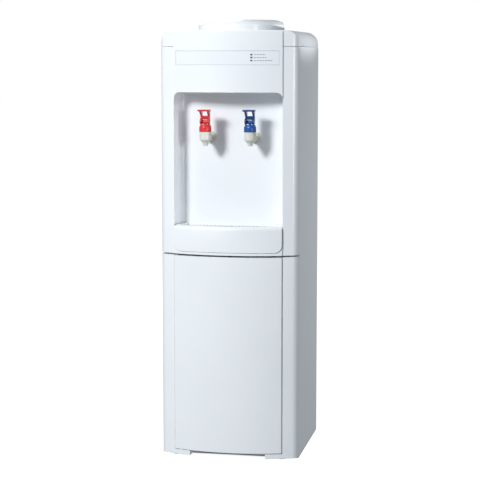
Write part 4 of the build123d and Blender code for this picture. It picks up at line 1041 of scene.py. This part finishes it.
class DISPENSER_OT_stage(Operator):
    """Make the floor, the light and the camera"""

    bl_idname = "dispenser.stage"
    bl_label = "Stage"

    def execute(self, context):
        stage = context.scene.dispenser_stage
        self.floor(context, stage)
        self.world(context, stage)
        self.lights(context, stage)
        self.camera(context, stage)
        context.scene.view_settings.view_transform = "Standard"
        return {"FINISHED"}

    def floor(self, context, stage):
        """A wide pale floor that leaves the object's own light alone, with a painted shadow under
        the base.
        """
        reach = 30.0
        dark_grey = (0.29, 0.29, 0.29)
        light_grey = (0.31, 0.31, 0.31)
        low, high = cad_box
        shade_start = low.y + 38 * MM
        shade_full = low.y + 52 * MM
        shape = bmesh.new()
        bmesh.ops.create_circle(shape, cap_ends=True, radius=reach, segments=96)
        mesh = bpy.data.meshes.new("floor")
        shape.to_mesh(mesh)
        shape.free()
        finish = Finish("finish_floor")
        x, y, _ = finish.along()
        # painted shadow: the floor's glow fades to black under the base, behind its front edge
        behind = finish.between(y, low=shade_start, high=shade_full)
        under = behind * (y < high.y) * (abs(x) < high.x)
        finish.surface(
            Base_Color=finish.blend(finish.noise(5.0), dark_grey, light_grey),
            Roughness=0.9,
            Emission_Color=finish.blend(under, WHITE, BLACK),
            Emission_Strength=stage.floor_glow,
        )
        mesh.materials.append(finish.material)
        floor = bpy.data.objects.new("floor", mesh)
        floor.visible_diffuse = False
        floor.visible_glossy = False
        context.scene.collection.objects.link(floor)

    def world(self, context, stage):
        """White behind the object, and an even grey light on it."""
        world = bpy.data.worlds.new("studio")
        context.scene.world = world
        world.use_nodes = True
        tree = world.node_tree
        tree.nodes.clear()
        shone = tree.nodes.new("ShaderNodeBackground")
        shone.inputs["Color"].default_value = (*SKY_WHITE, 1.0)
        shone.inputs["Strength"].default_value = stage.ambient
        seen = tree.nodes.new("ShaderNodeBackground")
        seen.inputs["Color"].default_value = (*WHITE, 1.0)
        ray = tree.nodes.new("ShaderNodeLightPath")
        pick = tree.nodes.new("ShaderNodeMixShader")
        out = tree.nodes.new("ShaderNodeOutputWorld")
        tree.links.new(ray.outputs["Is Camera Ray"], pick.inputs[0])
        tree.links.new(shone.outputs[0], pick.inputs[1])
        tree.links.new(seen.outputs[0], pick.inputs[2])
        tree.links.new(pick.outputs[0], out.inputs["Surface"])

    def lights(self, context, stage):
        """Key, fill, rim and back lights, two seen only in gloss and one on the alcove's wall."""
        above_cover = 0.205
        ahead = 0.06
        low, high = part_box("cold_tap_body")
        corner = cad_box[1]
        taps = Vector((0.0, low.y, high.z))
        side = Vector((corner.x, 0.0, high.z))
        crown = Vector((corner.x, -ahead, corner.z + above_cover))
        lamp(
            context,
            "key_light",
            stage.key_power,
            size=(stage.key_size, stage.key_size),
            target=taps,
            step=turned(stage.key_distance, -stage.key_turn, stage.key_rise),
        )
        fill = lamp(
            context,
            "fill_light",
            stage.fill_power,
            size=(0.5, 0.5),
            target=side,
            step=turned(reach=1.1, turn=radians(124), rise=radians(-8)),
        )
        fill.visible_glossy = False
        lamp(
            context,
            "rim_light",
            stage.rim_power,
            size=(0.04, 0.04),
            target=crown,
            step=turned(reach=1.6, turn=radians(135), rise=radians(-19)),
            spread=radians(21),
        )
        lamp(
            context,
            "back_light",
            stage.back_power,
            size=(1.2, 1.2),
            target=taps,
            step=turned(reach=3.0, turn=radians(205), rise=radians(28)),
        )
        for name, strength, height, rise in (
            ("gloss_light", stage.gloss_power, 0.30, radians(2.6)),
            ("glint_light", stage.glint_power, 0.48, radians(-5.4)),
        ):
            shine = lamp(
                context,
                name,
                strength,
                size=(0.14, height),
                target=taps,
                step=turned(reach=2.4, turn=radians(52), rise=rise),
            )
            shine.visible_diffuse = False
        lamp(
            context,
            "slit_light",
            stage.slit_power,
            size=(0.02, 0.3),
            target=self.alcove_wall(),
            step=turned(reach=1.5, turn=radians(57), rise=radians(4)),
            spread=radians(3.8),
        )

    def alcove_wall(self):
        """A point on the alcove's left wall, halfway from the tray up to the levers' tops."""
        share_from_front = 0.65
        low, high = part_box("drip_tray")
        _, lever_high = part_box("hot_tap_lever")
        depth = low.y + share_from_front * (high.y - low.y)
        return Vector((low.x, depth, (high.z + lever_high.z) / 2))

    def camera(self, context, stage):
        """A camera in front of the dispenser, a little to its right."""
        lens = bpy.data.cameras.new("camera")
        lens.lens = stage.lens
        lens.shift_y = stage.shift
        camera = bpy.data.objects.new("camera", lens)
        camera.location = (
            stage.distance * sin(stage.yaw),
            -stage.distance * cos(stage.yaw),
            stage.height,
        )
        camera.rotation_euler = (pi / 2 - stage.pitch, 0.0, stage.yaw)
        context.scene.collection.objects.link(camera)
        context.scene.camera = camera


# Sidebar and registration


PIECES = (
    DISPENSER_OT_shell,
    DISPENSER_OT_receiver,
    DISPENSER_OT_strip,
    DISPENSER_OT_tray,
    DISPENSER_OT_taps,
    DISPENSER_OT_cupboard,
    DISPENSER_OT_rear,
    DISPENSER_OT_works,
    DISPENSER_OT_stage,
)


class DISPENSER_PT_sidebar(Panel):
    """The dispenser's settings and the buttons that make its pieces"""

    bl_idname = "DISPENSER_PT_sidebar"
    bl_label = "Water dispenser"
    bl_space_type = "VIEW_3D"
    bl_region_type = "UI"
    bl_category = "Dispenser"

    def draw(self, context):
        for group in (
            context.scene.dispenser_edges,
            context.scene.dispenser_colours,
            context.scene.dispenser_stage,
        ):
            box = self.layout.box()
            for name in group.bl_rna.properties.keys():
                if name not in ("rna_type", "name"):
                    box.prop(group, name)
        for piece in PIECES:
            self.layout.operator(piece.bl_idname)


CLASSES = (DispenserEdges, DispenserColours, DispenserStage, *PIECES, DISPENSER_PT_sidebar)


def register():
    """Add the classes and the settings to Blender."""
    for made in CLASSES:
        bpy.utils.register_class(made)
    bpy.types.Scene.dispenser_edges = PointerProperty(type=DispenserEdges)
    bpy.types.Scene.dispenser_colours = PointerProperty(type=DispenserColours)
    bpy.types.Scene.dispenser_stage = PointerProperty(type=DispenserStage)


def unregister():
    """Take the settings and the classes out again."""
    del bpy.types.Scene.dispenser_stage
    del bpy.types.Scene.dispenser_colours
    del bpy.types.Scene.dispenser_edges
    for made in reversed(CLASSES):
        bpy.utils.unregister_class(made)


def main():
    """Make every piece in order."""
    register()
    for piece in PIECES:
        group, name = piece.bl_idname.split(".")
        getattr(getattr(bpy.ops, group), name)()


if __name__ == "__main__":
    main()
